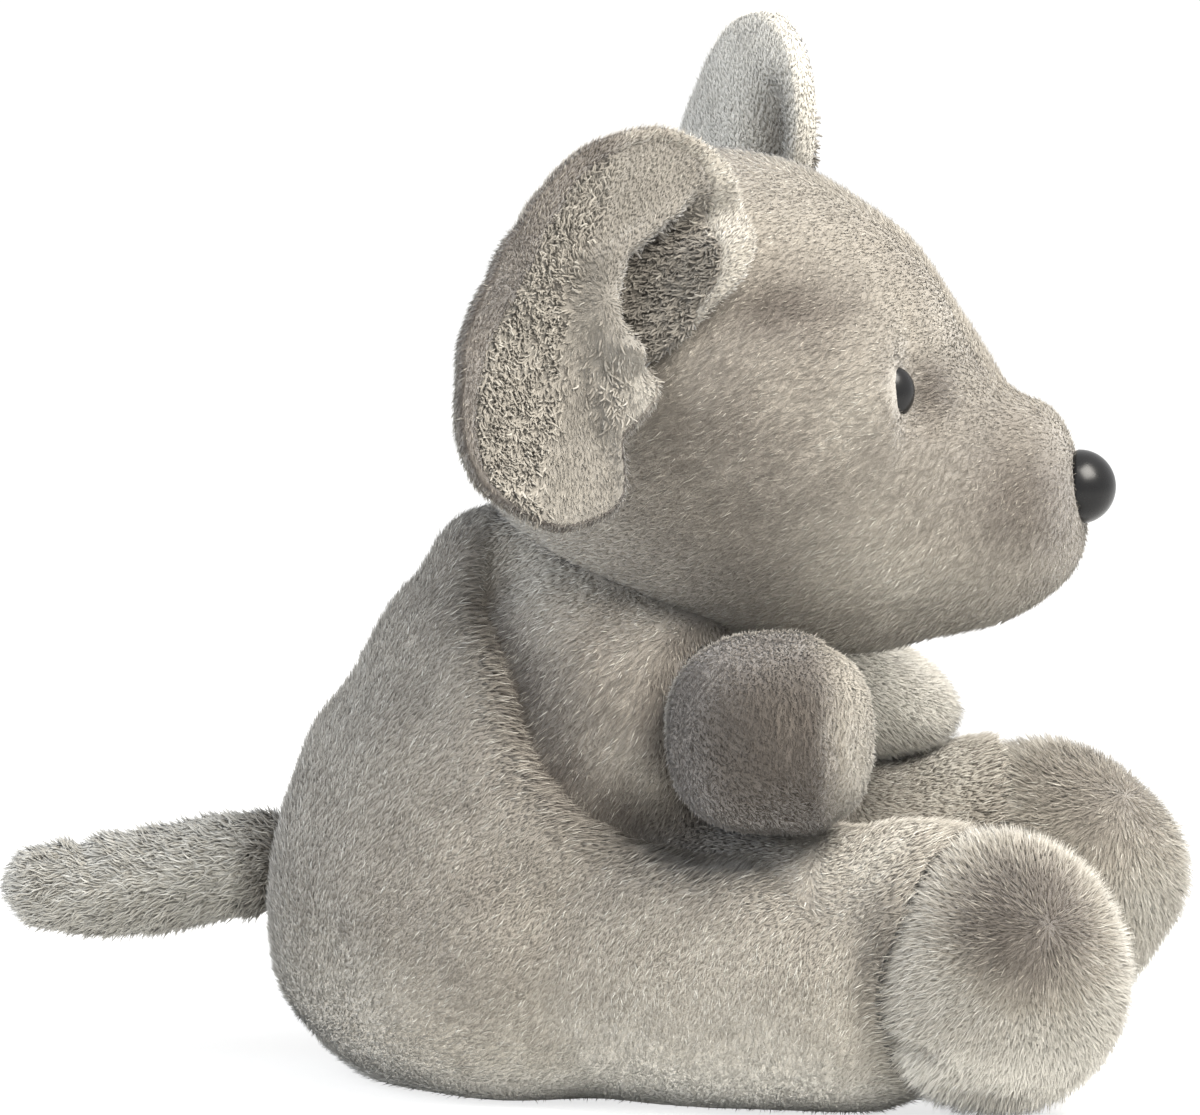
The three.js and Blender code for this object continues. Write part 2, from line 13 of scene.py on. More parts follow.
import bmesh
import bpy
import numpy as np
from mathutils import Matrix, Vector
from mathutils.bvhtree import BVHTree


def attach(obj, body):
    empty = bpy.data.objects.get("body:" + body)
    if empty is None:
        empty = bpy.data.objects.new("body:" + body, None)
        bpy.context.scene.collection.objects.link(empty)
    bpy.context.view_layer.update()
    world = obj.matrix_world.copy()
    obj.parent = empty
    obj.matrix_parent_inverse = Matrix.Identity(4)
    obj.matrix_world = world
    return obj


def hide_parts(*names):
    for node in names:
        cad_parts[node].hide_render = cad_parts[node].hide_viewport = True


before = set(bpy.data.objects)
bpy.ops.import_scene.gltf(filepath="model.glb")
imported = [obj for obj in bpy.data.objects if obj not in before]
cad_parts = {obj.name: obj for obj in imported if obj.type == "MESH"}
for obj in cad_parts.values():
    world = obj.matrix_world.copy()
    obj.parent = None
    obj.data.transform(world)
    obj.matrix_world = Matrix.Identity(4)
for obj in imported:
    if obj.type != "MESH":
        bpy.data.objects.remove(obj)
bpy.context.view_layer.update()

LOG = logging.getLogger("plush_mouse")
MM = 0.001
UP = np.array([0.0, 0.0, 1.0])
# Short names of types
Array = np.ndarray
Object = bpy.types.Object
Socket = bpy.types.NodeSocket


class Side(Enum):
    """A side of the mouse, with the sign of its Y."""

    RIGHT = -1
    LEFT = 1

    @property
    def label(self) -> str:
        """The side's word in the names of pieces."""
        return self.name.lower()


# Small tools


def linear(code: str) -> tuple[float, float, float, float]:
    """Turns an sRGB hex colour into linear RGBA.

    Args:
        code: six hex digits.

    Returns:
        The colour for a shader socket.
    """
    values = [int(code[i : i + 2], 16) / 255 for i in (0, 2, 4)]
    light = [v / 12.92 if v <= 0.04045 else ((v + 0.055) / 1.055) ** 2.4 for v in values]
    return (*light, 1.0)


def put(tree: bpy.types.NodeTree, kind: str, inputs: Optional[dict] = None, **settings) -> bpy.types.Node:
    """Adds a node with its settings, values and links.

    Args:
        tree: the node tree.
        kind: the node's type.
        inputs: by socket name or number, a value or the socket that feeds it.
        settings: the node's own properties.

    Returns:
        The new node.
    """
    node = tree.nodes.new(kind)
    for key, value in settings.items():
        setattr(node, key, value)
    for key, value in (inputs or {}).items():
        if isinstance(value, Socket):
            tree.links.new(value, node.inputs[key])
        else:
            node.inputs[key].default_value = value
    return node


def blank_material(name: str) -> bpy.types.Material:
    """Makes a material whose node tree is empty."""
    made = bpy.data.materials.new(name)
    made.use_nodes = True
    made.node_tree.nodes.clear()
    return made


def unit(vectors: Array) -> Array:
    """Scales each vector to length one, leaving zero vectors as they are."""
    length = np.linalg.norm(vectors, axis=-1, keepdims=True)
    return vectors / np.maximum(length, 1e-9)


def heading(bearing: float, rise: float, side: Side) -> Array:
    """Gives a direction.

    Args:
        bearing: degrees from +X towards the side.
        rise: degrees up from level.
        side: the side that the bearing turns to.

    Returns:
        A unit vector.
    """
    turn, lift = math.radians(bearing), math.radians(rise)
    flat = math.cos(lift)
    return np.array([flat * math.cos(turn), side.value * flat * math.sin(turn), math.sin(lift)])


def fade(values: Array, low: float, high: float) -> Array:
    """Rises smoothly from 0 at low to 1 at high, or falls if high is below low."""
    share = np.clip((values - low) / (high - low), 0, 1)
    return share * share * (3 - 2 * share)


def hump(distance: Array, width: float) -> Array:
    """A bell of height 1 that is about twice width across."""
    return np.exp(-0.5 * (distance / width) ** 2)


def path_distance(points: Array, path: Array) -> Array:
    """Gives each point's distance to a line through several places.

    Args:
        points: an array of points.
        path: the line's places in order.

    Returns:
        One distance for each point.
    """
    best = np.full(len(points), np.inf)
    for start, end in zip(path[:-1], path[1:]):
        step = end - start
        share = np.clip(((points - start) @ step) / (step @ step), 0, 1)
        gap = np.linalg.norm(points - start - share[:, None] * step, axis=1)
        best = np.minimum(best, gap)
    return best


def beside(points: Array, path: Array) -> Array:
    """Gives each point's distance to a line as seen from the side, above 0 to the left of the way it runs.

    Args:
        points: an array of points.
        path: the line's places in order, each an X and a Z.

    Returns:
        One signed distance for each point.
    """
    flat = points[:, [0, 2]]
    best = np.full(len(points), np.inf)
    signed = np.full(len(points), np.inf)
    for start, end in zip(path[:-1], path[1:]):
        step = end - start
        share = np.clip(((flat - start) @ step) / (step @ step), 0, 1)
        rest = flat - start - share[:, None] * step
        gap = np.linalg.norm(rest, axis=1)
        turn = step[0] * (flat[:, 1] - start[1]) - step[1] * (flat[:, 0] - start[0])
        nearer = gap < best
        best = np.where(nearer, gap, best)
        signed = np.where(nearer, np.where(turn >= 0, gap, -gap), signed)
    return signed


@dataclass(frozen=True)
class Spot:
    """A soft oval patch as seen from the side, in millimetres, and how strong it is."""

    x: float
    z: float
    reach_x: float
    reach_z: float
    amount: float


def spotted(points: Array, spots: Sequence[Spot]) -> Array:
    """Adds up the patches at each point.

    Args:
        points: an array of points.
        spots: the patches, which fade over their reach.

    Returns:
        One sum for each point.
    """
    total = np.zeros(len(points))
    for spot in spots:
        far = ((points[:, 0] - spot.x) / spot.reach_x) ** 2 + ((points[:, 2] - spot.z) / spot.reach_z) ** 2
        total += spot.amount * np.exp(-0.7 * far)
    return total


def lumps(points: Array, size: float, seed: int) -> Array:
    """A soft uneven pattern about 0 and mostly within 1 of it, made of crossed waves.

    Args:
        points: where it is read.
        size: millimetres from one lump to the next.
        seed: picks the pattern.

    Returns:
        One value for each point.
    """
    random = np.random.default_rng(seed)
    total = np.zeros(len(points))
    waves = 9
    for _ in range(waves):
        direction = unit(random.normal(size=3)) * (2 * math.pi / (size * random.uniform(0.8, 1.6)))
        total += np.sin(points @ direction + random.uniform(0, 2 * math.pi))
    return total / math.sqrt(waves * 2)


# Meshes


@dataclass
class Surface:
    """A mesh as arrays, in millimetres."""

    points: Array
    faces: list[tuple[int, ...]]

    def to_object(self, name: str) -> Object:
        """Makes a Blender object of it.

        Args:
            name: the object's name.

        Returns:
            The linked object, at the origin.
        """
        mesh = bpy.data.meshes.new(name)
        mesh.from_pydata((self.points * MM).tolist(), [], self.faces)
        mesh.update()
        made = bpy.data.objects.new(name, mesh)
        bpy.context.scene.collection.objects.link(made)
        return made


def read_points(piece: Object) -> Array:
    """The piece's vertices in millimetres."""
    flat = np.empty(len(piece.data.vertices) * 3)
    piece.data.vertices.foreach_get("co", flat)
    return flat.reshape(-1, 3) / MM


def read_normals(piece: Object) -> Array:
    """The piece's vertex normals."""
    flat = np.empty(len(piece.data.vertices) * 3, np.float32)
    piece.data.vertices.foreach_get("normal", flat)
    return flat.reshape(-1, 3).astype(float)


def write_points(piece: Object, points: Array) -> None:
    """Moves the piece's vertices.

    Args:
        piece: the mesh object.
        points: their new places in millimetres.
    """
    piece.data.vertices.foreach_set("co", (points * MM).ravel())
    piece.data.update()


def relax(piece: Object, rounds: int) -> None:
    """Evens out a mesh by moving each vertex half way to the middle of its neighbours.

    Args:
        piece: the mesh object.
        rounds: how many times.
    """
    count = len(piece.data.edges)
    flat = np.empty(count * 2, np.int64)
    piece.data.edges.foreach_get("vertices", flat)
    first, second = flat.reshape(-1, 2).T
    points = read_points(piece)
    degree = np.bincount(first, minlength=len(points)) + np.bincount(second, minlength=len(points))
    for _ in range(rounds):
        total = np.zeros_like(points)
        for axis in range(3):
            total[:, axis] = np.bincount(first, points[second, axis], len(points))
            total[:, axis] += np.bincount(second, points[first, axis], len(points))
        points += 0.5 * (total / np.maximum(degree, 1)[:, None] - points)
    write_points(piece, points)


def settle(piece: Object) -> None:
    """Turns what the piece's modifiers show into its own plain mesh, and removes them.

    Args:
        piece: the object.
    """
    depsgraph = bpy.context.evaluated_depsgraph_get()
    mesh = bpy.data.meshes.new_from_object(
        piece.evaluated_get(depsgraph), preserve_all_data_layers=True, depsgraph=depsgraph
    )
    old = piece.data
    piece.modifiers.clear()
    piece.data = mesh
    bpy.data.meshes.remove(old)


def remesh(piece: Object, size: float) -> None:
    """Joins what overlaps in a mesh into one even skin.

    Args:
        piece: the mesh object.
        size: the new faces' size in millimetres.
    """
    modifier = piece.modifiers.new("Remesh", "REMESH")
    modifier.mode = "VOXEL"
    modifier.voxel_size = size * MM
    modifier.use_smooth_shade = True
    settle(piece)


def carve(piece: Object, cutter: Object) -> None:
    """Cuts one closed mesh out of another.

    Args:
        piece: the mesh that is cut.
        cutter: the mesh that cuts, which is removed.
    """
    modifier = piece.modifiers.new("Cut", "BOOLEAN")
    modifier.operation = "DIFFERENCE"
    modifier.solver = "EXACT"
    modifier.object = cutter
    settle(piece)
    bpy.data.objects.remove(cutter)


def join(name: str, parts: Sequence[Object]) -> Object:
    """Puts several meshes into one object.

    Args:
        name: the new object's name.
        parts: the objects, which are removed.

    Returns:
        The joined object.
    """
    mesh = bmesh.new()
    for part in parts:
        mesh.from_mesh(part.data)
        bpy.data.objects.remove(part)
    data = bpy.data.meshes.new(name)
    mesh.to_mesh(data)
    mesh.free()
    made = bpy.data.objects.new(name, data)
    bpy.context.scene.collection.objects.link(made)
    return made


def smooth_shade(piece: Object) -> None:
    """Shades all faces of a piece smooth."""
    piece.data.polygons.foreach_set("use_smooth", np.ones(len(piece.data.polygons), bool))
    piece.data.update()


def smooth_rows(rows: Array, flips: Array, steps: int) -> Array:
    """Draws one smooth curve through rows of values that start and end on an axis.

    Args:
        rows: one row for each place, with radii of 0 in the first and the last.
        flips: 1 for a value that mirrors unchanged across the axis, and -1 for a radius.
        steps: rows made between two given ones.

    Returns:
        The finer rows.
    """
    keys = np.vstack([rows[1] * flips, rows, rows[-2] * flips])
    spans = np.sqrt(np.maximum(np.linalg.norm(np.diff(keys, axis=0), axis=1), 1e-6))
    knots = np.concatenate([[0], np.cumsum(spans)])
    made = []
    for i in range(1, len(keys) - 2):
        t0, t1, t2, t3 = knots[i - 1 : i + 3]
        p0, p1, p2, p3 = keys[i - 1 : i + 3]
        for t in np.linspace(t1, t2, steps, endpoint=False):
            a1 = (t1 - t) / (t1 - t0) * p0 + (t - t0) / (t1 - t0) * p1
            a2 = (t2 - t) / (t2 - t1) * p1 + (t - t1) / (t2 - t1) * p2
            a3 = (t3 - t) / (t3 - t2) * p2 + (t - t2) / (t3 - t2) * p3
            b1 = (t2 - t) / (t2 - t0) * a1 + (t - t0) / (t2 - t0) * a2
            b2 = (t3 - t) / (t3 - t1) * a2 + (t - t1) / (t3 - t1) * a3
            made.append((t2 - t) / (t2 - t1) * b1 + (t - t1) / (t2 - t1) * b2)
    made.append(keys[-2])
    return np.array(made)


def loft(middles: Array, across: Array, up: Array, sides: int = 72) -> Surface:
    """Makes a closed skin through oval rings, whose first and last are points.

    Args:
        middles: each ring's middle.
        across: each ring's first half axis.
        up: each ring's second half axis.
        sides: points round a ring.

    Returns:
        The surface, with its faces turned out when across, up and the way along are right-handed.
    """
    turns = np.linspace(0, 2 * math.pi, sides, endpoint=False)
    inner = slice(1, len(middles) - 1)
    rings = (
        middles[inner, None, :]
        + np.cos(turns)[None, :, None] * across[inner, None, :]
        + np.sin(turns)[None, :, None] * up[inner, None, :]
    )
    return skin(middles[0], rings, middles[-1])


def skin(first: Array, rings: Array, end: Array) -> Surface:
    """Makes a closed skin from one point through rings of points to another point.

    Args:
        first: the point that the first ring closes on.
        rings: rings of as many points each, turning left as seen from the end.
        end: the point that the last ring closes on.

    Returns:
        The surface.
    """
    count, sides = rings.shape[:2]
    points = np.vstack([first[None], rings.reshape(-1, 3), end[None]])
    last = len(points) - 1
    faces: list[tuple[int, ...]] = []
    for i in range(sides):
        j = (i + 1) % sides
        faces.append((0, 1 + j, 1 + i))
        for r in range(count - 1):
            low, high = 1 + r * sides, 1 + (r + 1) * sides
            faces.append((low + i, low + j, high + j, high + i))
        top = 1 + (count - 1) * sides
        faces.append((top + i, top + j, last))
    return Surface(points, faces)


def ball(middle: Array, radius: float, sides: int = 64) -> Surface:
    """Makes a ball.

    Args:
        middle: its middle.
        radius: its radius.
        sides: points round its middle ring.

    Returns:
        The closed surface.
    """
    turns = np.linspace(-math.pi / 2, math.pi / 2, sides // 2 + 1)
    middles = middle + radius * np.sin(turns)[:, None] * UP
    reach = radius * np.cos(turns)[:, None]
    return loft(middles, reach * np.array([1.0, 0, 0]), reach * np.array([0, 1.0, 0]), sides)


def limb_loft(origin: Array, axis: Array, stations: Array) -> Surface:
    """Makes a round limb along a straight axis.

    Args:
        origin: where distances along it start.
        axis: its unit direction.
        stations: rows of distance and radius, with a radius of 0 at both ends.

    Returns:
        The closed surface.
    """
    rows = smooth_rows(stations, np.array([1, -1]), 6)
    across = unit(np.cross(UP, axis))
    up = np.cross(axis, across)
    middles = origin + rows[:, :1] * axis
    return loft(middles, rows[:, 1:] * across, rows[:, 1:] * up)


def half_ball(middle: float, radius: float, reach: float, sign: int, count: int = 4) -> list[list[float]]:
    """Rows of distance and radius over a half ball, from its pole to its rim or back.

    Args:
        middle: where the rim is along the axis.
        radius: its radius.
        reach: how far the pole is from the rim.
        sign: -1 for the near end and 1 for the far one.
        count: steps from pole to rim.

    Returns:
        The rows in order along the axis.
    """
    rows = []
    for i in range(count + 1):
        turn = math.pi / 2 * i / count
        rows.append([middle + sign * reach * math.cos(turn), radius * math.sin(turn)])
    return rows if sign < 0 else rows[::-1]


# Finishes


# How many features each pattern has in a millimetre: patches of dye are about 6 mm wide, streaks of pile
# 0.2 mm and dents of moulded plastic 1 mm.
PATCHES_PER_MM = 0.16
STREAKS_PER_MM = 4.6
DENTS_PER_MM = 0.9


class Layer(Enum):
    """What a plush's material is put on: its strands, or the cloth under them."""

    PILE = "pile"
    BACKING = "backing"


@dataclass(frozen=True)
class Plush:
    """Knitted polyester plush: a matt cloth that shows soft light tips over darker roots."""

    name: str
    root: str
    body: str
    tip: str
    sheen: float = 0.5
    # How strongly single strands differ, their painted glints included
    contrast: float = 1.0

    def material(self, layer: Layer) -> bpy.types.Material:
        """Makes or fetches the material.

        Args:
            layer: what it is put on.

        Returns:
            The material.
        """
        name = f"{self.name}_{layer.value}"
        found = bpy.data.materials.get(name)
        if found:
            return found
        made = blank_material(name)
        tree = made.node_tree
        place = put(tree, "ShaderNodeTexCoord").outputs["Object"]
        # Dye and pile vary over a few millimetres, which keeps a large piece from looking flat.
        dye = {"Vector": place, "Scale": PATCHES_PER_MM / MM, "Detail": 3.0}
        patch = put(tree, "ShaderNodeTexNoise", dye)
        # Painted light and shade by region, with some of the cloth's own tone: lighter where the lamps or
        # the floor would light a piece, darker in its folds, creases and seams.
        region_tone_and_painted_light = put(tree, "ShaderNodeAttribute", attribute_name="shade").outputs["Fac"]
        if layer is Layer.PILE:
            tone = put(tree, "ShaderNodeAttribute", attribute_name="tone").outputs["Fac"]
            along = put(tree, "ShaderNodeAttribute", attribute_name="along").outputs["Fac"]
            # Painted glints: a few strands are painted brighter, as short bright dashes where they would
            # catch the light.
            painted_glint = put(tree, "ShaderNodeMath", {0: tone, 1: 9.0}, operation="POWER").outputs[0]
            shares = [(tone, 0.13), (painted_glint, 0.42), (along, 0.22)]
            shares = [(socket, share * self.contrast) for socket, share in shares]
            start = 0.32 - 0.22 * self.contrast
            shares += [(patch.outputs["Fac"], 0.25), (region_tone_and_painted_light, 1.0)]
        else:
            streak = self._streaks(tree, place)
            shares = [(streak, 0.6), (patch.outputs["Fac"], 0.25), (region_tone_and_painted_light, 1.0)]
            start = -0.09
        total: object = start
        for socket, share in shares:
            total = put(
                tree, "ShaderNodeMath", {0: socket, 1: share, 2: total}, operation="MULTIPLY_ADD"
            ).outputs[0]
        ramp = put(tree, "ShaderNodeValToRGB", {"Fac": total})
        stops = ramp.color_ramp.elements
        stops[0].color, stops[1].color = linear(self.root), linear(self.tip)
        stops.new(0.5).color = linear(self.body)
        if layer is Layer.PILE:
            # Fine fur is lit as one soft surface, not as separate rods.
            nap = put(tree, "ShaderNodeAttribute", attribute_name="nap").outputs["Vector"]
            nap = put(
                tree,
                "ShaderNodeVectorTransform",
                {0: nap},
                vector_type="NORMAL",
                convert_from="OBJECT",
                convert_to="WORLD",
            ).outputs[0]
            own = put(tree, "ShaderNodeNewGeometry").outputs["Normal"]
            own = put(tree, "ShaderNodeVectorMath", {0: own, "Scale": 0.5}, operation="SCALE").outputs[0]
            soft = put(tree, "ShaderNodeVectorMath", {0: nap, 1: own}, operation="ADD").outputs[0]
            facing = put(tree, "ShaderNodeVectorMath", {0: soft}, operation="NORMALIZE").outputs[0]
        else:
            bump = put(tree, "ShaderNodeBump", {"Height": streak, "Strength": 0.6, "Distance": 0.3 * MM})
            facing = bump.outputs["Normal"]
        shader = put(
            tree,
            "ShaderNodeBsdfPrincipled",
            {
                "Base Color": ramp.outputs["Color"],
                "Normal": facing,
                "Roughness": 0.8,
                "IOR": 1.5,
                "Specular IOR Level": 0.3,
                "Sheen Weight": self.sheen,
                "Sheen Roughness": 0.5,
            },
        )
        put(tree, "ShaderNodeOutputMaterial", {"Surface": shader.outputs["BSDF"]})
        return made

    def _streaks(self, tree: bpy.types.NodeTree, place: Socket) -> Socket:
        """Draws the dense short pile on the cloth itself, as fine streaks that lie the way the strands do.

        Args:
            tree: the material's node tree.
            place: where on the piece each point is.

        Returns:
            The streaks, from 0 to 1.
        """
        way = put(tree, "ShaderNodeAttribute", attribute_name="flow").outputs["Vector"]
        reach = put(tree, "ShaderNodeVectorMath", {0: place, 1: way}, operation="DOT_PRODUCT")
        # Most of the distance along the nap is taken away, which draws the noise out six times that way.
        shrink = put(tree, "ShaderNodeMath", {0: reach.outputs["Value"], 1: -0.84}, operation="MULTIPLY")
        along = put(tree, "ShaderNodeVectorMath", {0: way, "Scale": shrink.outputs[0]}, operation="SCALE")
        drawn = put(tree, "ShaderNodeVectorMath", {0: place, 1: along.outputs["Vector"]}, operation="ADD")
        streaks = {"Vector": drawn.outputs["Vector"], "Scale": STREAKS_PER_MM / MM, "Detail": 2.0}
        return put(tree, "ShaderNodeTexNoise", {**streaks, "Roughness": 0.6}).outputs["Fac"]


@dataclass(frozen=True)
class Pile:
    """Sizes of a pile, in millimetres and degrees."""

    length: float = 1.25
    # Real strands are several times finer, and these are as coarse as they need to be to show.
    width: float = 0.15
    per_mm2: float = 8.0
    lift: float = 20.0
    scatter: float = 0.12
    clump: float = 0.15
    clump_size: float = 2.2
    bend: float = 0.25
    blunt: float = 0.0
    sides: int = 3
    segments: int = 1


class StrandTree:
    """The node tree that stands strands on a mesh, leaning along its "flow"."""

    MEASURES = ("Per square metre", "Length", "Radius", "Tip radius", "Lift", "Scatter")
    SHARES = ("Clump", "Clump scale", "Bend")
    COUNTS = ("Sides", "Segments", "Seed")

    def __init__(self) -> None:
        """Builds the tree once."""
        self.tree = bpy.data.node_groups.new("strand_pile", "GeometryNodeTree")
        face = self.tree.interface
        face.new_socket("Geometry", in_out="INPUT", socket_type="NodeSocketGeometry")
        for name in self.MEASURES + self.SHARES:
            face.new_socket(name, in_out="INPUT", socket_type="NodeSocketFloat")
        for name in self.COUNTS:
            face.new_socket(name, in_out="INPUT", socket_type="NodeSocketInt")
        face.new_socket("Pile", in_out="INPUT", socket_type="NodeSocketMaterial")
        face.new_socket("Geometry", in_out="OUTPUT", socket_type="NodeSocketGeometry")
        self.ports = {s.name: s.identifier for s in face.items_tree if s.in_out == "INPUT"}
        self._build()

    def _named(self, name: str, kind: str = "FLOAT") -> Socket:
        """Reads a stored attribute."""
        node = put(self.tree, "GeometryNodeInputNamedAttribute", {"Name": name}, data_type=kind)
        return node.outputs["Attribute"]

    def _math(self, operation: str, *values: object) -> Socket:
        """Adds a sum on numbers."""
        return put(self.tree, "ShaderNodeMath", dict(enumerate(values)), operation=operation).outputs[0]

    def _sum(self, operation: str, *values: object, out: str = "Vector", **more) -> Socket:
        """Adds a sum on vectors."""
        inputs = {**dict(enumerate(values)), **more}
        return put(self.tree, "ShaderNodeVectorMath", inputs, operation=operation).outputs[out]

    def _store(
        self, geometry: object, name: str, value: object, domain: str, kind: str = "FLOAT"
    ) -> Socket:
        """Stores an attribute.

        Args:
            geometry: what it is stored on.
            name: its name.
            value: its value.
            domain: the kind of element that it belongs to.
            kind: its type.

        Returns:
            The geometry with the attribute.
        """
        node = put(
            self.tree,
            "GeometryNodeStoreNamedAttribute",
            {"Geometry": geometry, "Name": name, "Value": value},
            data_type=kind,
            domain=domain,
        )
        return node.outputs["Geometry"]

    def _random(self, low: float, high: float, seed: object, salt: int) -> Socket:
        """Three random numbers for each item.

        Args:
            low: the least.
            high: the most.
            seed: fixes the draws.
            salt: sets these draws apart from others with the same seed.

        Returns:
            The numbers, as one vector.
        """
        mixed = self._math("ADD", seed, float(salt))
        return put(
            self.tree,
            "FunctionNodeRandomValue",
            {"Min": (low,) * 3, "Max": (high,) * 3, "Seed": mixed},
            data_type="FLOAT_VECTOR",
        ).outputs["Value"]

    def _angle(self, seed: object) -> Socket:
        """A random turn in radians for each item."""
        drawn = self._random(0, 2 * math.pi, seed, 5)
        return put(self.tree, "ShaderNodeSeparateXYZ", {0: drawn}).outputs["X"]

    def _strand(self, start: bpy.types.NodeOutputs) -> Socket:
        """One strand: a thin cone that bends, with its share of the length stored.

        Args:
            start: the tree's inputs.

        Returns:
            The strand's mesh.
        """
        tree = self.tree
        cone = put(
            tree,
            "GeometryNodeMeshCone",
            {
                "Vertices": start["Sides"],
                "Side Segments": start["Segments"],
                "Radius Top": start["Tip radius"],
                "Radius Bottom": start["Radius"],
                "Depth": start["Length"],
            },
            fill_type="NGON",
        ).outputs["Mesh"]
        place = put(tree, "GeometryNodeInputPosition").outputs[0]
        split = put(tree, "ShaderNodeSeparateXYZ", {0: place})
        share = self._math("DIVIDE", split.outputs["Z"], start["Length"])
        turn = self._math("ARCTAN2", split.outputs["Y"], split.outputs["X"])
        spot = put(tree, "ShaderNodeCombineXYZ", {0: self._math("MULTIPLY_ADD", turn, 0.12, 0.5), 1: share})
        marked = self._store(cone, "along", share, "POINT")
        marked = self._store(marked, "spot", spot.outputs[0], "POINT", "FLOAT_VECTOR")
        lean = self._math("MULTIPLY", self._math("MULTIPLY", share, share), start["Bend"])
        shift = put(tree, "ShaderNodeCombineXYZ", {0: self._math("MULTIPLY", lean, start["Length"])})
        return put(
            tree, "GeometryNodeSetPosition", {"Geometry": marked, "Offset": shift.outputs[0]}
        ).outputs["Geometry"]

    def _build(self) -> None:
        """Links the whole tree."""
        tree = self.tree
        start = put(tree, "NodeGroupInput").outputs
        cover = self._named("cover")
        spread = put(
            tree,
            "GeometryNodeDistributePointsOnFaces",
            {
                "Mesh": start["Geometry"],
                "Density": self._math("MULTIPLY", start["Per square metre"], cover),
                "Seed": start["Seed"],
            },
            distribute_method="RANDOM",
        )
        lift = self._math("RADIANS", start["Lift"])
        lift = self._math("MULTIPLY", lift, self._named("rise"))
        along = self._sum("SCALE", self._named("flow", "FLOAT_VECTOR"), Scale=self._math("COSINE", lift))
        out = self._sum("SCALE", spread.outputs["Normal"], Scale=self._math("SINE", lift))
        place = put(tree, "GeometryNodeInputPosition").outputs[0]
        clumps = {"Vector": place, "Scale": start["Clump scale"], "Detail": 1.0}
        noise = put(tree, "ShaderNodeTexNoise", clumps)
        swirl = self._sum("SUBTRACT", noise.outputs["Color"], (0.5, 0.5, 0.5))
        swirl = self._sum("SCALE", swirl, Scale=self._math("MULTIPLY", start["Clump"], 4.0))
        stray = self._sum("SCALE", self._random(-1, 1, start["Seed"], 3), Scale=start["Scatter"])
        aim = self._sum("ADD", self._sum("ADD", along, out), self._sum("ADD", swirl, stray))
        # A strand that would dive into the cloth is lifted clear of it.
        depth = self._sum("DOT_PRODUCT", aim, spread.outputs["Normal"], out="Value")
        lack = self._math("MAXIMUM", self._math("SUBTRACT", 0.2, depth), 0.0)
        aim = self._sum("ADD", aim, self._sum("SCALE", spread.outputs["Normal"], Scale=lack))
        spin = put(
            tree,
            "FunctionNodeAxisAngleToRotation",
            {"Axis": (0.0, 0.0, 1.0), "Angle": self._angle(start["Seed"])},
        )
        turned = put(
            tree, "FunctionNodeAlignRotationToVector", {"Rotation": spin.outputs[0], "Vector": aim}, axis="Z"
        )
        stretch = put(tree, "ShaderNodeSeparateXYZ", {0: self._random(0.65, 1.25, start["Seed"], 7)})
        longer = self._math("MULTIPLY", stretch.outputs["Z"], self._named("growth"))
        size = put(
            tree, "ShaderNodeCombineXYZ", {0: stretch.outputs["X"], 1: stretch.outputs["X"], 2: longer}
        )
        stood = put(
            tree,
            "GeometryNodeInstanceOnPoints",
            {
                "Points": self._store(
                    spread.outputs["Points"], "nap", spread.outputs["Normal"], "POINT", "FLOAT_VECTOR"
                ),
                "Instance": self._strand(start),
                "Rotation": turned.outputs[0],
                "Scale": size.outputs[0],
            },
        ).outputs["Instances"]
        tone = put(tree, "ShaderNodeSeparateXYZ", {0: self._random(0, 1, start["Seed"], 11)}).outputs["X"]
        stood = self._store(stood, "tone", tone, "INSTANCE")
        stood = self._cells(stood)
        real = put(tree, "GeometryNodeRealizeInstances", {0: stood}).outputs[0]
        cell, spot = self._named("cell", "FLOAT_VECTOR"), self._named("spot", "FLOAT_VECTOR")
        spread_out = self._sum("SCALE", spot, Scale=self._named("cell_size"))
        real = self._store(real, "OFBake", self._sum("ADD", cell, spread_out), "CORNER", "FLOAT2")
        real = put(tree, "GeometryNodeSetMaterial", {"Geometry": real, "Material": start["Pile"]}).outputs[0]
        put(tree, "NodeGroupOutput", {0: real})

    def _cells(self, stood: Socket) -> Socket:
        """Gives each strand its own small square of the pile's map.

        Args:
            stood: the strands as instances.

        Returns:
            The strands, with their squares' corner and size stored.
        """
        tree = self.tree
        count = put(
            tree, "GeometryNodeAttributeDomainSize", {"Geometry": stood}, component="INSTANCES"
        ).outputs["Instance Count"]
        row = self._math("CEIL", self._math("SQRT", count))
        index = put(tree, "GeometryNodeInputIndex").outputs[0]
        column = self._math("MODULO", index, row)
        line = self._math("FLOOR", self._math("DIVIDE", index, row))
        corner = put(
            tree,
            "ShaderNodeCombineXYZ",
            {
                0: self._math("DIVIDE", self._math("ADD", column, 0.1), row),
                1: self._math("DIVIDE", self._math("ADD", line, 0.1), row),
            },
        )
        stood = self._store(stood, "cell", corner.outputs[0], "INSTANCE", "FLOAT_VECTOR")
        return self._store(stood, "cell_size", self._math("DIVIDE", 0.8, row), "INSTANCE")

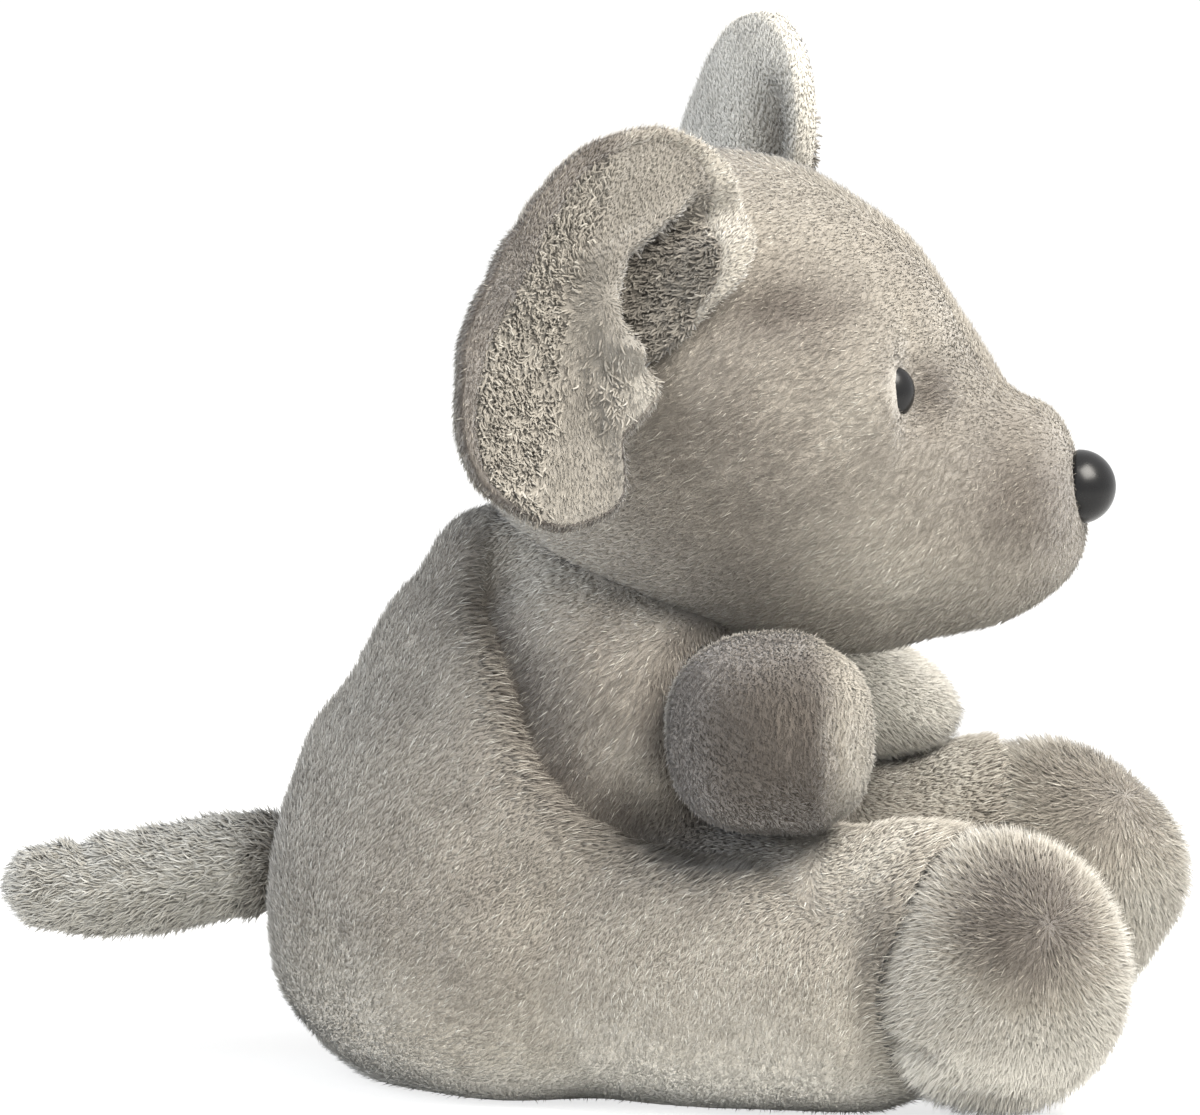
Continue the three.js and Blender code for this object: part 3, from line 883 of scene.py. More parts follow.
    def grow(
        self, name: str, base: Object, pile: Pile, material: bpy.types.Material, seed: int
    ) -> Object:
        """Grows a pile on a mesh.

        Args:
            name: the new piece's name.
            base: the mesh, with flow, cover, rise, growth and the painted light and shade, with some of the
                cloth's tone, stored on its points.
            pile: the pile's sizes.
            material: what the strands are made of.
            seed: fixes the random draws.

        Returns:
            The new object, a plain mesh.
        """
        made = bpy.data.objects.new(name, base.data.copy())
        bpy.context.scene.collection.objects.link(made)
        modifier = made.modifiers.new("Pile", "NODES")
        modifier.node_group = self.tree
        values = {
            "Per square metre": pile.per_mm2 / MM**2,
            "Length": pile.length * MM,
            "Radius": pile.width * MM / 2,
            "Tip radius": pile.width * pile.blunt * MM / 2,
            "Lift": pile.lift,
            "Scatter": pile.scatter,
            "Clump": pile.clump,
            "Clump scale": 1 / (pile.clump_size * MM),
            "Bend": pile.bend,
            "Sides": pile.sides,
            "Segments": pile.segments,
            "Seed": seed,
            "Pile": material,
        }
        for port, value in values.items():
            modifier[self.ports[port]] = value
        settle(made)
        smooth_shade(made)
        return made


def store(piece: Object, name: str, values: Array) -> None:
    """Stores a number or a vector on each vertex.

    Args:
        piece: the mesh object.
        name: the attribute's name.
        values: one number or one vector for each vertex.
    """
    vector = values.ndim == 2
    old = piece.data.attributes.get(name)
    if old:
        piece.data.attributes.remove(old)
    made = piece.data.attributes.new(name, "FLOAT_VECTOR" if vector else "FLOAT", "POINT")
    made.data.foreach_set("vector" if vector else "value", values.astype(np.float32).ravel())


# Soft pieces


# The coat: light tips over darker roots, and strands that differ enough for some to carry a painted glint
GREY_PLUSH = Plush("grey_minky_plush", root="575049", body="a39d92", tip="e2dfd6", contrast=1.25)
# Calmer strands, so that the face and the feet look soft and even
FACE_PLUSH = Plush("fine_grey_minky_plush", root="575049", body="a39d92", tip="e2dfd6", contrast=0.95)
# Nearly even strands, so that the near arm looks shorn and its form shows by its lighting and painted shade
# alone
SHEARED_PLUSH = Plush("sheared_grey_plush", root="575049", body="a39d92", tip="e2dfd6", contrast=0.45)
# Lighter and greyer than the coat, so that the tail looks woolly
TAIL_FLEECE = Plush("curled_tail_fleece", root="6f6a62", body="b3afa5", tip="e0ddd4")
# Darker than the coat, partly the fleece's own tone and partly painted shade, so that the ears look deep
EAR_FLEECE = Plush("curled_ear_fleece", root="544f48", body="8a857c", tip="b6b2a9", contrast=0.8)


@dataclass(frozen=True)
class Coat:
    """A pile on a part of a piece."""

    label: str
    pile: Pile
    plush: Plush
    where: Callable[[Array, Array], Array]


def everywhere(points: Array, normals: Array) -> Array:
    """The whole piece."""
    return np.ones(len(points))


def part(side: Side, start: float = -math.inf, end: float = math.inf) -> Callable:
    """The part of a piece on one side of the middle.

    Args:
        side: which side.
        start: the X it starts at.
        end: the X it ends at.

    Returns:
        A function that gives 1 in the part and 0 elsewhere.
    """

    def inside(points: Array, normals: Array) -> Array:
        """1 in the part and 0 elsewhere."""
        here = (points[:, 0] >= start) & (points[:, 0] < end) & (points[:, 1] * side.value >= 0)
        return here.astype(float)

    return inside


SHORT_PILE = Pile()
HEAD_PILE = Pile(length=1.1, width=0.14, per_mm2=7.8, clump=0.13)
RIM_PILE = Pile(length=0.95, width=0.135, per_mm2=10.2, lift=24, scatter=0.12, clump=0.12)
ARM_PILE = Pile(length=0.9, width=0.155, per_mm2=9.2, lift=45, scatter=0.3, clump=0.35, clump_size=1.2)
FOOT_PILE = Pile(length=1.45, width=0.15)
CURL_PILE = Pile(
    length=1.0,
    width=0.37,
    per_mm2=7.5,
    lift=28,
    scatter=0.15,
    clump=0.3,
    bend=0.5,
    blunt=0.5,
    sides=4,
    segments=2,
)
FINE_PILE = Pile(length=0.8, width=0.17, per_mm2=9, lift=28, scatter=0.25, clump=0.3, clump_size=1.6)
FLEECE_PILE = Pile(
    length=1.6, width=0.36, per_mm2=7, lift=28, scatter=0.2, clump=0.5, clump_size=1.8, bend=0.3, segments=2
)


class SoftPiece:
    """A stuffed piece: its form, what it is sewn against, and its pile."""

    name = "piece"
    body = "torso"
    slot = "body_plush"
    nodes: tuple[str, ...] = ()
    plush = GREY_PLUSH
    pile = SHORT_PILE
    fill = 0.8
    seed = 1

    def __init__(self) -> None:
        """Starts with no mesh."""
        self.cover: Optional[Object] = None
        self.piles: list[Object] = []
        self._tree: Optional[BVHTree] = None

    def coats(self) -> list[Coat]:
        """The piece's piles."""
        return [Coat("pile", self.pile, self.plush, everywhere)]

    def flow(self, points: Array, normals: Array) -> Array:
        """The way that the pile lies.

        Args:
            points: places on the form.
            normals: directions out of it.

        Returns:
            One vector for each place, which need not lie along the surface.
        """
        raise NotImplementedError

    def bare(self, points: Array, normals: Array) -> Array:
        """Where no pile grows: 1 where bare and 0 where covered."""
        return np.zeros(len(points))

    def shade(self, points: Array, normals: Array) -> Array:
        """Painted light and shade on the pile, with some of the cloth's own tone: how much lighter or darker
        it is in places.
        """
        return np.zeros(len(points))

    def growth(self, points: Array, normals: Array) -> Array:
        """How long the pile is in places, as a share of its usual length."""
        return np.ones(len(points))

    def rise(self, points: Array, normals: Array) -> Array:
        """How far the pile stands up in places, as a share of its usual lift."""
        return np.ones(len(points))

    def dress(self, others: Iterable["SoftPiece"], strands: StrandTree) -> None:
        """Stores what the pile follows, grows it and ties all to the frame.

        Args:
            others: the other soft pieces, whose insides grow no pile.
            strands: the tree that makes strands.
        """
        points, normals = read_points(self.cover), read_normals(self.cover)
        flow = self.flow(points, normals)
        flow = unit(flow - np.sum(flow * normals, axis=1)[:, None] * normals)
        # Pile grows only where a place half a millimetre over the cloth is free.
        over = points + 0.5 * normals
        buried = np.zeros(len(points))
        for other in others:
            if other is not self:
                buried = np.maximum(buried, other.inside(over))
        cover = (1 - buried) * (1 - self.bare(points, normals))
        store(self.cover, "flow", flow)
        # Painted light and shade, with some of the cloth's own tone, kept for the materials.
        store(self.cover, "shade", self.shade(points, normals))
        store(self.cover, "growth", self.growth(points, normals))
        store(self.cover, "rise", self.rise(points, normals))
        for number, coat in enumerate(self.coats()):
            store(self.cover, "cover", cover * coat.where(points, normals))
            name, material = f"{self.name}_{coat.label}", coat.plush.material(Layer.PILE)
            self.piles.append(strands.grow(name, self.cover, coat.pile, material, self.seed + number))
        smooth_shade(self.cover)
        self.cover.data.materials.clear()
        self.cover.data.materials.append(self.plush.material(Layer.BACKING))
        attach(self.cover, self.body)
        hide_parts(*self.nodes)
        for made in self.piles:
            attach(made, self.body)
            made.data.calc_loop_triangles()
            LOG.info("%s: %d triangles", made.name, len(made.data.loop_triangles))
        LOG.info("%s: %d faces", self.cover.name, len(self.cover.data.polygons))

    def tree(self) -> BVHTree:
        """The form as a tree that finds near points."""
        if self._tree is None:
            mesh = bmesh.new()
            mesh.from_mesh(self.cover.data)
            self._tree = BVHTree.FromBMesh(mesh)
            mesh.free()
        return self._tree

    def inside(self, points: Array) -> Array:
        """Tells which points lie in this piece's form.

        Args:
            points: any places.

        Returns:
            1 for each point inside and 0 outside.
        """
        tree = self.tree()
        found = np.zeros(len(points))
        low, high = read_points(self.cover).min(0), read_points(self.cover).max(0)
        near = np.all((points > low) & (points < high), axis=1)
        for i in np.flatnonzero(near):
            place = Vector(points[i] * MM)
            spot, normal, _, _ = tree.find_nearest(place)
            if spot is not None and (place - spot).dot(normal) < 0:
                found[i] = 1
        return found


@dataclass
class TorsoSizes:
    """Sizes of the body and thighs."""

    height: float = 67.5
    depth: float = 63.2
    width: float = 74.4
    neck_radius: float = 24
    neck_forward: float = 0.5
    seat_cut: float = 0.5
    hip_radius: float = 17.3
    thigh_radius: float = 16.5
    thigh_length: float = 32
    thigh_splay: float = 16
    hip_forward: float = 2
    hip_spread: float = 20
    arm_radius: float = 9
    arm_drop: float = 23.3
    arm_stand: float = 3.4
    right_arm_bearing: float = 45
    left_arm_bearing: float = 52
    tail_radius: float = 5.3
    tail_height: float = 23.5
    tail_stand: float = 1.2
    foot_radius: float = 16.3
    foot_reach: float = 18.2
    foot_lift: float = 0.9
    left_foot_raise: float = 1.2
    # The cloth over the back of the foot: its radius, and how far behind and above the foot's middle it is
    knee_radius: float = 14.3
    knee_back: float = 9
    knee_raise: float = 3
    # Share of the height, middle as a share of the depth, half depth and half width as shares of the largest
    profile: tuple[tuple[float, float, float, float], ...] = (
        (0, -0.047, 0.6, 0.67), (0.03, -0.071, 0.77, 0.82), (0.082, -0.079, 0.867, 0.914),
        (0.172, -0.089, 0.956, 0.981), (0.306, -0.089, 1, 1), (0.41, -0.082, 0.994, 0.962),
        (0.515, -0.066, 0.949, 0.887), (0.604, -0.051, 0.892, 0.806), (0.655, -0.035, 0.823, 0.742),
        (0.743, -0.022, 0.745, 0.672), (0.816, -0.014, 0.67, 0.58), (0.86, 0, 0.53, 0.43),
    )  # fmt: skip

    def neck(self) -> Array:
        """The middle of the round top that the head turns on."""
        return np.array([self.neck_forward, 0, self.height - self.neck_radius])

    def surface(self, height: float, bearing: float, side: Side) -> tuple[Array, Array]:
        """A point of the body's plain surface and the direction out of it.

        Args:
            height: above the seat.
            bearing: degrees from straight ahead.
            side: the side that the bearing turns to.

        Returns:
            The point and the direction.
        """
        rows = np.array(self.profile)
        share = (height + self.seat_cut) / (self.height + self.seat_cut)
        shift, deep, wide = (np.interp(share, rows[:, 0], rows[:, i]) for i in (1, 2, 3))
        half_x, half_y = deep * self.depth / 2, wide * self.width / 2
        turn = math.atan2(half_x * math.sin(math.radians(bearing)), half_y * math.cos(math.radians(bearing)))
        point = np.array(
            [shift * self.depth + half_x * math.cos(turn), side.value * half_y * math.sin(turn), height]
        )
        out = np.array([math.cos(turn) / half_x, side.value * math.sin(turn) / half_y, 0])
        return point, unit(out)

    def shoulder(self, side: Side) -> Array:
        """The middle of an arm's round root."""
        bearing = self.right_arm_bearing if side is Side.RIGHT else self.left_arm_bearing
        point, out = self.surface(self.height - self.arm_drop, bearing, side)
        return point + self.arm_stand * out

    def tail_root(self) -> Array:
        """The middle of the tail's round root."""
        point, out = self.surface(self.tail_height, 180, Side.LEFT)
        return point + self.tail_stand * out

    def hip(self, side: Side) -> Array:
        """The middle of a thigh's round root."""
        return np.array([self.hip_forward, side.value * self.hip_spread, self.hip_radius - self.seat_cut])

    def knee(self, side: Side) -> Array:
        """The middle of a thigh's round end."""
        end = self.hip(side) + self.thigh_length * heading(self.thigh_splay, 0, side)
        end[2] = self.thigh_radius - self.seat_cut
        return end

    def foot(self, side: Side) -> Array:
        """The middle of a foot."""
        middle = self.knee(side) + self.foot_reach * heading(self.thigh_splay, 0, side)
        middle[2] = self.foot_radius + self.foot_lift + (self.left_foot_raise if side is Side.LEFT else 0)
        return middle


# Room between a round root and what it is sewn to, in millimetres
GAP = 0.3


class Torso(SoftPiece):
    """The body with its thighs, which are sewn fast to it."""

    name = "body_cover"
    nodes = (
        "torso_skin",
        "torso_filling",
        "bean_pouch",
        "right_thigh_skin",
        "right_thigh_filling",
        "left_thigh_skin",
        "left_thigh_filling",
    )
    seed = 10
    # The fold down the side from the nape to the knee, as X and Z
    HIP_FOLD = np.array([
        (-11.5, 61.8), (-12.1, 55.9), (-7.5, 47.9), (-6.1, 43.7), (-4.3, 40.1), (-1.6, 37.2),
        (2.2, 33.8), (8.2, 31.1), (15.5, 29.3), (22.4, 29.5), (28.5, 25.0),
    ])  # fmt: skip
    # Soft patches of painted light and shade seen from the side: painted light at the back's lower corner,
    # where the floor would light it, on the far thigh and on the back; painted shade at the side, the
    # shoulder and beside the nape's lighter patch; the belly is lighter too.
    PAINTED_LIGHT_AND_TONE_SPOTS = (
        Spot(18, 6, 26, 9, 0.32),
        Spot(-28, 7, 12, 7, 0.16),
        Spot(-14, 24, 16, 12, -0.08),
        Spot(3, 49, 6, 8, -0.14),
        Spot(42, 32, 9, 6, 0.24),
        Spot(-28, 40, 8, 14, 0.1),
        Spot(-6, 60, 5, 4, 0.22),
        Spot(-13, 62, 3, 4, -0.1),
    )

    def __init__(self, sizes: TorsoSizes) -> None:
        """Keeps the sizes."""
        super().__init__()
        self.sizes = sizes

    def coats(self) -> list[Coat]:
        """One pile for each quarter, because one for the whole body would have too many strands."""
        middle = 2.0
        quarters = (("back", -math.inf, middle), ("front", middle, math.inf))
        return [
            Coat(f"pile_{side.label}_{label}", self.pile, self.plush, part(side, start, end))
            for side in Side
            for label, start, end in quarters
        ]

    def form(self) -> None:
        """Builds the cover."""
        s = self.sizes
        rows = np.array(s.profile)
        poles = [rows[0] * [1, 1, 0, 0], *rows, [0.9, 0, 0, 0]]
        fine = smooth_rows(np.array(poles), np.array([1, 1, -1, -1]), 6)
        middles = np.zeros((len(fine), 3))
        middles[:, 0] = fine[:, 1] * s.depth
        middles[:, 2] = fine[:, 0] * (s.height + s.seat_cut) - s.seat_cut
        deep = fine[:, 2:3] * s.depth / 2 * np.array([1.0, 0, 0])
        wide = fine[:, 3:4] * s.width / 2 * np.array([0, 1.0, 0])
        parts = [
            loft(middles, deep, wide).to_object("pear"),
            ball(s.neck(), s.neck_radius).to_object("neck_top"),
        ]
        for side in Side:
            axis = s.knee(side) - s.hip(side)
            length = float(np.linalg.norm(axis))
            stations = half_ball(0, s.hip_radius, s.hip_radius, -1)
            stations += half_ball(length, s.thigh_radius, s.thigh_radius, 1)
            parts.append(limb_loft(s.hip(side), axis / length, np.array(stations)).to_object("thigh"))
            # The thigh's cloth reaches over the back of the foot, most of all at its top.
            over = s.foot(side) - s.knee_back * axis / length
            over[2] = s.foot_radius + s.foot_lift + s.knee_raise
            parts.append(ball(over, s.knee_radius).to_object("knee"))
        self.cover = join(self.name, parts)
        remesh(self.cover, 0.9)
        relax(self.cover, 18)
        self._sculpt()
        relax(self.cover, 2)
        points = read_points(self.cover)
        points[:, 2] = np.maximum(points[:, 2], 0.05)
        write_points(self.cover, points)
        for side in Side:
            carve(self.cover, ball(s.shoulder(side), s.arm_radius + GAP).to_object("arm_room"))
            carve(self.cover, ball(s.foot(side), s.foot_radius + GAP).to_object("foot_room"))
        carve(self.cover, ball(s.tail_root(), s.tail_radius + GAP).to_object("tail_room"))

    def beside_fold(self, points: Array) -> tuple[Array, Array]:
        """How far before the fold each point is, and how deep the fold is there, from 0 to 1."""
        depth = fade(np.abs(points[:, 1]), 6, 16) * fade(points[:, 0], 30, 14) * fade(points[:, 2], 20, 27)
        return beside(points, self.HIP_FOLD), depth

    def _sculpt(self) -> None:
        """Presses in the folds and lets the stuffing stand proud beside them."""
        points, normals = read_points(self.cover), read_normals(self.cover)
        push = 0.35 * lumps(points, 15, 4) - 0.2
        x, z = points[:, 0], points[:, 2]
        push += 0.4 * fade(x, -8, -20) * fade(z, 34, 44) + 0.6 * fade(x, -28, -34) * hump(z - 12, 6)
        # The nape is full up to where the head sits on it.
        push += 1.8 * hump(x + 14, 4) * hump(z - 62, 3.5) * fade(np.abs(points[:, 1]), 16, 8)
        away, depth = self.beside_fold(points)
        valley = fade(away, -1.4, 1.0) * fade(away, 10, 1.5)
        push += depth * (1.1 * hump(away + 4.5, 2.8) - 3.0 * valley)
        # The shoulder bulges between the fold and the arm.
        outer = fade(np.abs(points[:, 1]), 10, 20)
        push += 3.0 * outer * hump((x - 3.5) / 6, 1) * hump((z - 48) / 8, 1)
        for side in Side:
            root = self.sizes.shoulder(side)
            reach = np.linalg.norm(points - root, axis=1)
            # The cloth is gathered round the arm's seam and stands up behind it.
            push += 2.6 * hump(reach - 10, 3.5) * fade(x - root[0], 3, -5) * fade(z, 30, 38)
        write_points(self.cover, points + push[:, None] * normals)

    def flow(self, points: Array, normals: Array) -> Array:
        """Up and ahead over the hips, level over the back, and down and back on the chest before the fold.

        Args:
            points: places on the form.
            normals: directions out of it.

        Returns:
            One vector for each place.
        """
        x, z = points[:, 0], points[:, 2]
        away, depth = self.beside_fold(points)
        slope = 40 + 32 * fade(x, -15, 12) * fade(z, 28, 14) - 18 * fade(z, 32, 50)
        slope -= 45 * fade(away, -6, -0.5) * depth + 40 * fade(x, 18, 30) * fade(z, 20, 28)
        slope = np.radians(slope)
        hips = np.stack([np.cos(slope), 0 * x, np.sin(slope)], axis=1)
        chest = (fade(away, -0.5, 1.5) * fade(x, 34, 26))[:, None]
        way = hips * (1 - chest) + chest * np.array([-0.6, 0, -0.9])
        low = fade(z, 5, 1)[:, None]
        way = way * (1 - low) + low * (normals * [1, 1, 0] + [0, 0, -0.2])
        # The thigh's pile reaches over the seam of the foot.
        near = self.at_foot_seam(points)[:, None]
        return way * (1 - near) + near * [1.0, 0, 0.25]

    def at_foot_seam(self, points: Array) -> Array:
        """Where the feet's seams are.

        Args:
            points: places on the form.

        Returns:
            1 along the seams, falling to 0 beside them.
        """
        near = np.zeros(len(points))
        for side in Side:
            near = np.maximum(near, fade(np.linalg.norm(points - self.sizes.foot(side), axis=1), 19.5, 17.5))
        return near

    def bare(self, points: Array, normals: Array) -> Array:
        """The seat."""
        return fade(points[:, 2], 0.9, 0.3)

    def growth(self, points: Array, normals: Array) -> Array:
        """Longer along the edge of the fold, where the cloth is bent over, and over the feet's seams."""
        away, depth = self.beside_fold(points)
        return 1 + 0.8 * depth * hump(away + 1.2, 1.4) + 0.7 * self.at_foot_seam(points)

    def rise(self, points: Array, normals: Array) -> Array:
        """Standing up along the edge of the fold and at the feet's seams."""
        away, depth = self.beside_fold(points)
        return 1 + 0.8 * depth * hump(away + 1.2, 1.4) + 0.6 * self.at_foot_seam(points)

    def shade(self, points: Array, normals: Array) -> Array:
        """Painted shade in the fold and round the arms' and feet's seams, painted light along the bottom
        where the floor would light the cloth, and patches of painted light and shade over the belly, the
        shoulder, the back and the thighs.

        Args:
            points: places on the form.
            normals: directions out of it, which are not used.

        Returns:
            One value for each place.
        """
        # Painted shade in the fold's valley and in the creases round the arms' and the feet's seams, and
        # painted light along the bottom, where the floor would light the cloth.
        away, depth = self.beside_fold(points)
        valley = fade(away, -2.5, 0.6) * fade(away, 8, 2)
        crease = np.zeros(len(points))
        for side in Side:
            reach = np.linalg.norm(points - self.sizes.shoulder(side), axis=1)
            crease = np.maximum(crease, fade(reach, 15, 10.5))
            reach = np.linalg.norm(points - self.sizes.foot(side), axis=1)
            crease = np.maximum(crease, 0.8 * fade(reach, 20, 17.2) * fade(points[:, 2], 12, 22))
        painted_floor_light = 0.2 * fade(points[:, 2], 8, 1)
        return spotted(points, self.PAINTED_LIGHT_AND_TONE_SPOTS) + painted_floor_light - 0.24 * depth * valley - 0.22 * crease


@dataclass
class HeadSizes:
    """Sizes of the head."""

    length: float = 71
    height: float = 58
    width: float = 60
    rise: float = 36
    behind: float = 14
    muzzle_fall: float = 0.193
    eye_share: float = 0.724
    eye_angle: float = 24
    # Share of the length, fall of the middle as a share of the height, half height and half width
    profile: tuple[tuple[float, float, float, float], ...] = (
        (0.035, 0, 0.43, 0.42),
        (0.099, 0, 0.67, 0.67),
        (0.197, 0, 0.862, 0.86),
        (0.31, 0.007, 0.972, 0.973),
        (0.423, 0.021, 1, 1),
        (0.535, 0.04, 0.972, 0.95),
        (0.648, 0.074, 0.886, 0.843),
        (0.746, 0.116, 0.741, 0.693),
        (0.831, 0.186, 0.555, 0.523),
        (0.88, 0.221, 0.438, 0.427),
        (0.937, 0.209, 0.348, 0.347),
        (0.979, 0.202, 0.224, 0.227),
    )


class Head(SoftPiece):
    """The head, a pear on its side."""

    name = "head_cover"
    body = "head"
    # Soft patches of painted light and shade seen from the side: painted shade at the temple before the ear,
    # on the cheek, low on the jaw by the neck, on the muzzle and in the pocket before the eye; painted light
    # on the jaw, the crown and behind the eye; and a lighter patch at the nape.
    PAINTED_LIGHT_AND_TONE_SPOTS = (
        Spot(25, 92, 6, 3, -0.28),
        Spot(18, 82, 9, 9, -0.08),
        Spot(17, 72, 12, 9, -0.1),
        Spot(36, 60, 10, 6, 0.24),
        Spot(20, 60, 8, 5, -0.12),
        Spot(52, 68, 7, 6, -0.28),
        Spot(46, 78, 7, 5, -0.05),
        Spot(30, 104, 14, 6, 0.04),
        Spot(41.5, 82, 2.5, 3, -0.2),
        Spot(32.5, 80.5, 3, 3, 0.12),
        Spot(-5, 61, 4.5, 4.5, 0.22),
    )
    pile = HEAD_PILE
    nodes = ("head_skin", "head_filling")
    plush = FACE_PLUSH
    seed = 20

    def __init__(self, sizes: HeadSizes, torso: TorsoSizes) -> None:
        """Keeps the sizes.

        Args:
            sizes: its sizes.
            torso: the body's sizes.
        """
        super().__init__()
        self.sizes = sizes
        self.torso = torso
        self.neck = torso.neck()
        self.middle_z = self.neck[2] + sizes.rise
        self.back_x = self.neck[0] - sizes.behind

    def row_to_ring(self, row: Array) -> tuple[Array, float, float]:
        """A profile row's middle, half width and half height."""
        s = self.sizes
        middle = np.array([self.back_x + row[0] * s.length, 0, self.middle_z - row[1] * s.height])
        return middle, row[3] * s.width / 2, row[2] * s.height / 2

    def point(self, share: float, angle: float, side: Side) -> Array:
        """A point of the plain head.

        Args:
            share: of the length.
            angle: degrees up from the widest line.
            side: which side.

        Returns:
            The point.
        """
        rows = np.array(self.sizes.profile)
        row = np.array([share, *(np.interp(share, rows[:, 0], rows[:, i]) for i in (1, 2, 3))])
        middle, wide, high = self.row_to_ring(row)
        turn = math.radians(angle)
        return middle + [0, side.value * wide * math.cos(turn), high * math.sin(turn)]

    def out(self, share: float, angle: float, side: Side) -> Array:
        """The direction out of the plain head at a point.

        Args:
            share: of the head's length.
            angle: degrees up from the widest line.
            side: which side.

        Returns:
            A unit vector.
        """
        here = self.point(share, angle, side)
        ahead = self.point(share + 0.01, angle, side) - here
        above = self.point(share, angle + 2, side) - here
        return unit(np.cross(ahead, above) * -side.value)

    def nose(self) -> Array:
        """The tip of the muzzle."""
        s = self.sizes
        return np.array([self.back_x + s.length, 0, self.middle_z - s.muzzle_fall * s.height])

    def coats(self) -> list[Coat]:
        """One pile for each half."""
        return [Coat(f"pile_{side.label}", self.pile, self.plush, part(side)) for side in Side]

    def form(self) -> None:
        """Builds the cover."""
        s = self.sizes
        poles = [[0, 0, 0, 0], *s.profile, [1, s.muzzle_fall, 0, 0]]
        fine = smooth_rows(np.array(poles), np.array([1, 1, -1, -1]), 6)
        middles = np.zeros((len(fine), 3))
        middles[:, 0] = self.back_x + fine[:, 0] * s.length
        middles[:, 2] = self.middle_z - fine[:, 1] * s.height
        wide = fine[:, 3:4] * s.width / 2 * np.array([0, 1.0, 0])
        high = fine[:, 2:3] * s.height / 2 * np.array([0, 0, 1.0])
        self.cover = loft(middles, wide, high).to_object(self.name)
        remesh(self.cover, 0.9)
        relax(self.cover, 4)
        self._sculpt()
        carve(self.cover, ball(self.neck, self.torso.neck_radius + GAP, 96).to_object("neck_room"))

    def _sculpt(self) -> None:
        """Draws the cover in by its pile, presses in the eyes' pockets and fills out the cheeks and chin."""
        points, normals = read_points(self.cover), read_normals(self.cover)
        push = 0.3 * lumps(points, 14, 8) - 0.15
        snout = np.linalg.norm((points - [52, 0, 77]) / [5, 9, 4], axis=1)
        push += 0.9 * np.exp(-0.8 * snout**2)
        s = self.sizes
        for side in Side:
            rest = points - self.point(s.eye_share, s.eye_angle, side)
            pocket = np.linalg.norm((rest - [3.2, 0, -0.4]) / [3.0, 4.5, 3.8], axis=1)
            push -= 2.4 * np.exp(-0.8 * pocket**2)
            cheek = np.linalg.norm((rest - [-3.2, 0, -0.4]) / [4.2, 6, 5.5], axis=1)
            push += 1.9 * np.exp(-0.8 * cheek**2) * fade(rest[:, 0], 0.9, -0.9)
            temple = np.linalg.norm((rest - [-13.0, 0, 9.5]) / [6.0, 9, 2.6], axis=1)
            push -= 0.9 * np.exp(-0.8 * temple**2)
        chin = np.linalg.norm((points - self.nose() - [-5, 0, -9]) / [9, 10, 5], axis=1)
        push += 1.8 * np.exp(-0.8 * chin**2)
        write_points(self.cover, points + push[:, None] * normals)

    def shade(self, points: Array, normals: Array) -> Array:
        """Painted light on the forehead and snout, and painted shade at the temples and cheeks."""
        return spotted(points, self.PAINTED_LIGHT_AND_TONE_SPOTS) - 0.05

    def flow(self, points: Array, normals: Array) -> Array:
        """Away from the nose, and more downwards towards the crown.

        Args:
            points: places on the form.
            normals: directions out of it, which are not used.

        Returns:
            One vector for each place.
        """
        away = unit(points - self.nose())
        high = fade(points[:, 2], 75, 100)[:, None]
        sideways = np.stack([np.zeros(len(points)), np.sign(points[:, 1]), np.zeros(len(points))], axis=1)
        middle = fade(np.abs(points[:, 1]), 1, 8)[:, None]
        return away + [0, 0, -0.55] + high * middle * (sideways * 1.3 + [0, 0, -0.3])

    def bare(self, points: Array, normals: Array) -> Array:
        """Under the beads.

        Args:
            points: places on the form.
            normals: directions out of it, which are not used.

        Returns:
            One value for each place.
        """
        s = self.sizes
        gone = fade(np.linalg.norm(points - self.nose(), axis=1), 4.3, 3.8)
        for side in Side:
            eye = self.point(s.eye_share, s.eye_angle, side)
            gone = np.maximum(gone, fade(np.linalg.norm(points - eye, axis=1), 3.0, 2.5))
        return gone

    def growth(self, points: Array, normals: Array) -> Array:
        """Shorter on the muzzle."""
        return 0.55 + 0.45 * fade(np.linalg.norm(points - self.nose(), axis=1), 4, 22)


@dataclass(frozen=True)
class EarPlace:
    """Where an ear is sewn to the head and how it lies."""

    side: Side
    # Share of the head's length
    share: float
    # Degrees up from the widest line of the head
    angle: float
    # Degrees out from straight back
    splay: float
    # Degrees that the seam leans in at the top
    lean: float
    # Millimetres that the ear stands above its seam's middle
    rise: float = 0.0


EAR_PLACES = (
    EarPlace(Side.RIGHT, share=0.426, angle=26, splay=32, lean=17, rise=0.4),
    EarPlace(Side.LEFT, share=0.525, angle=42.5, splay=60, lean=0, rise=2.0),
)


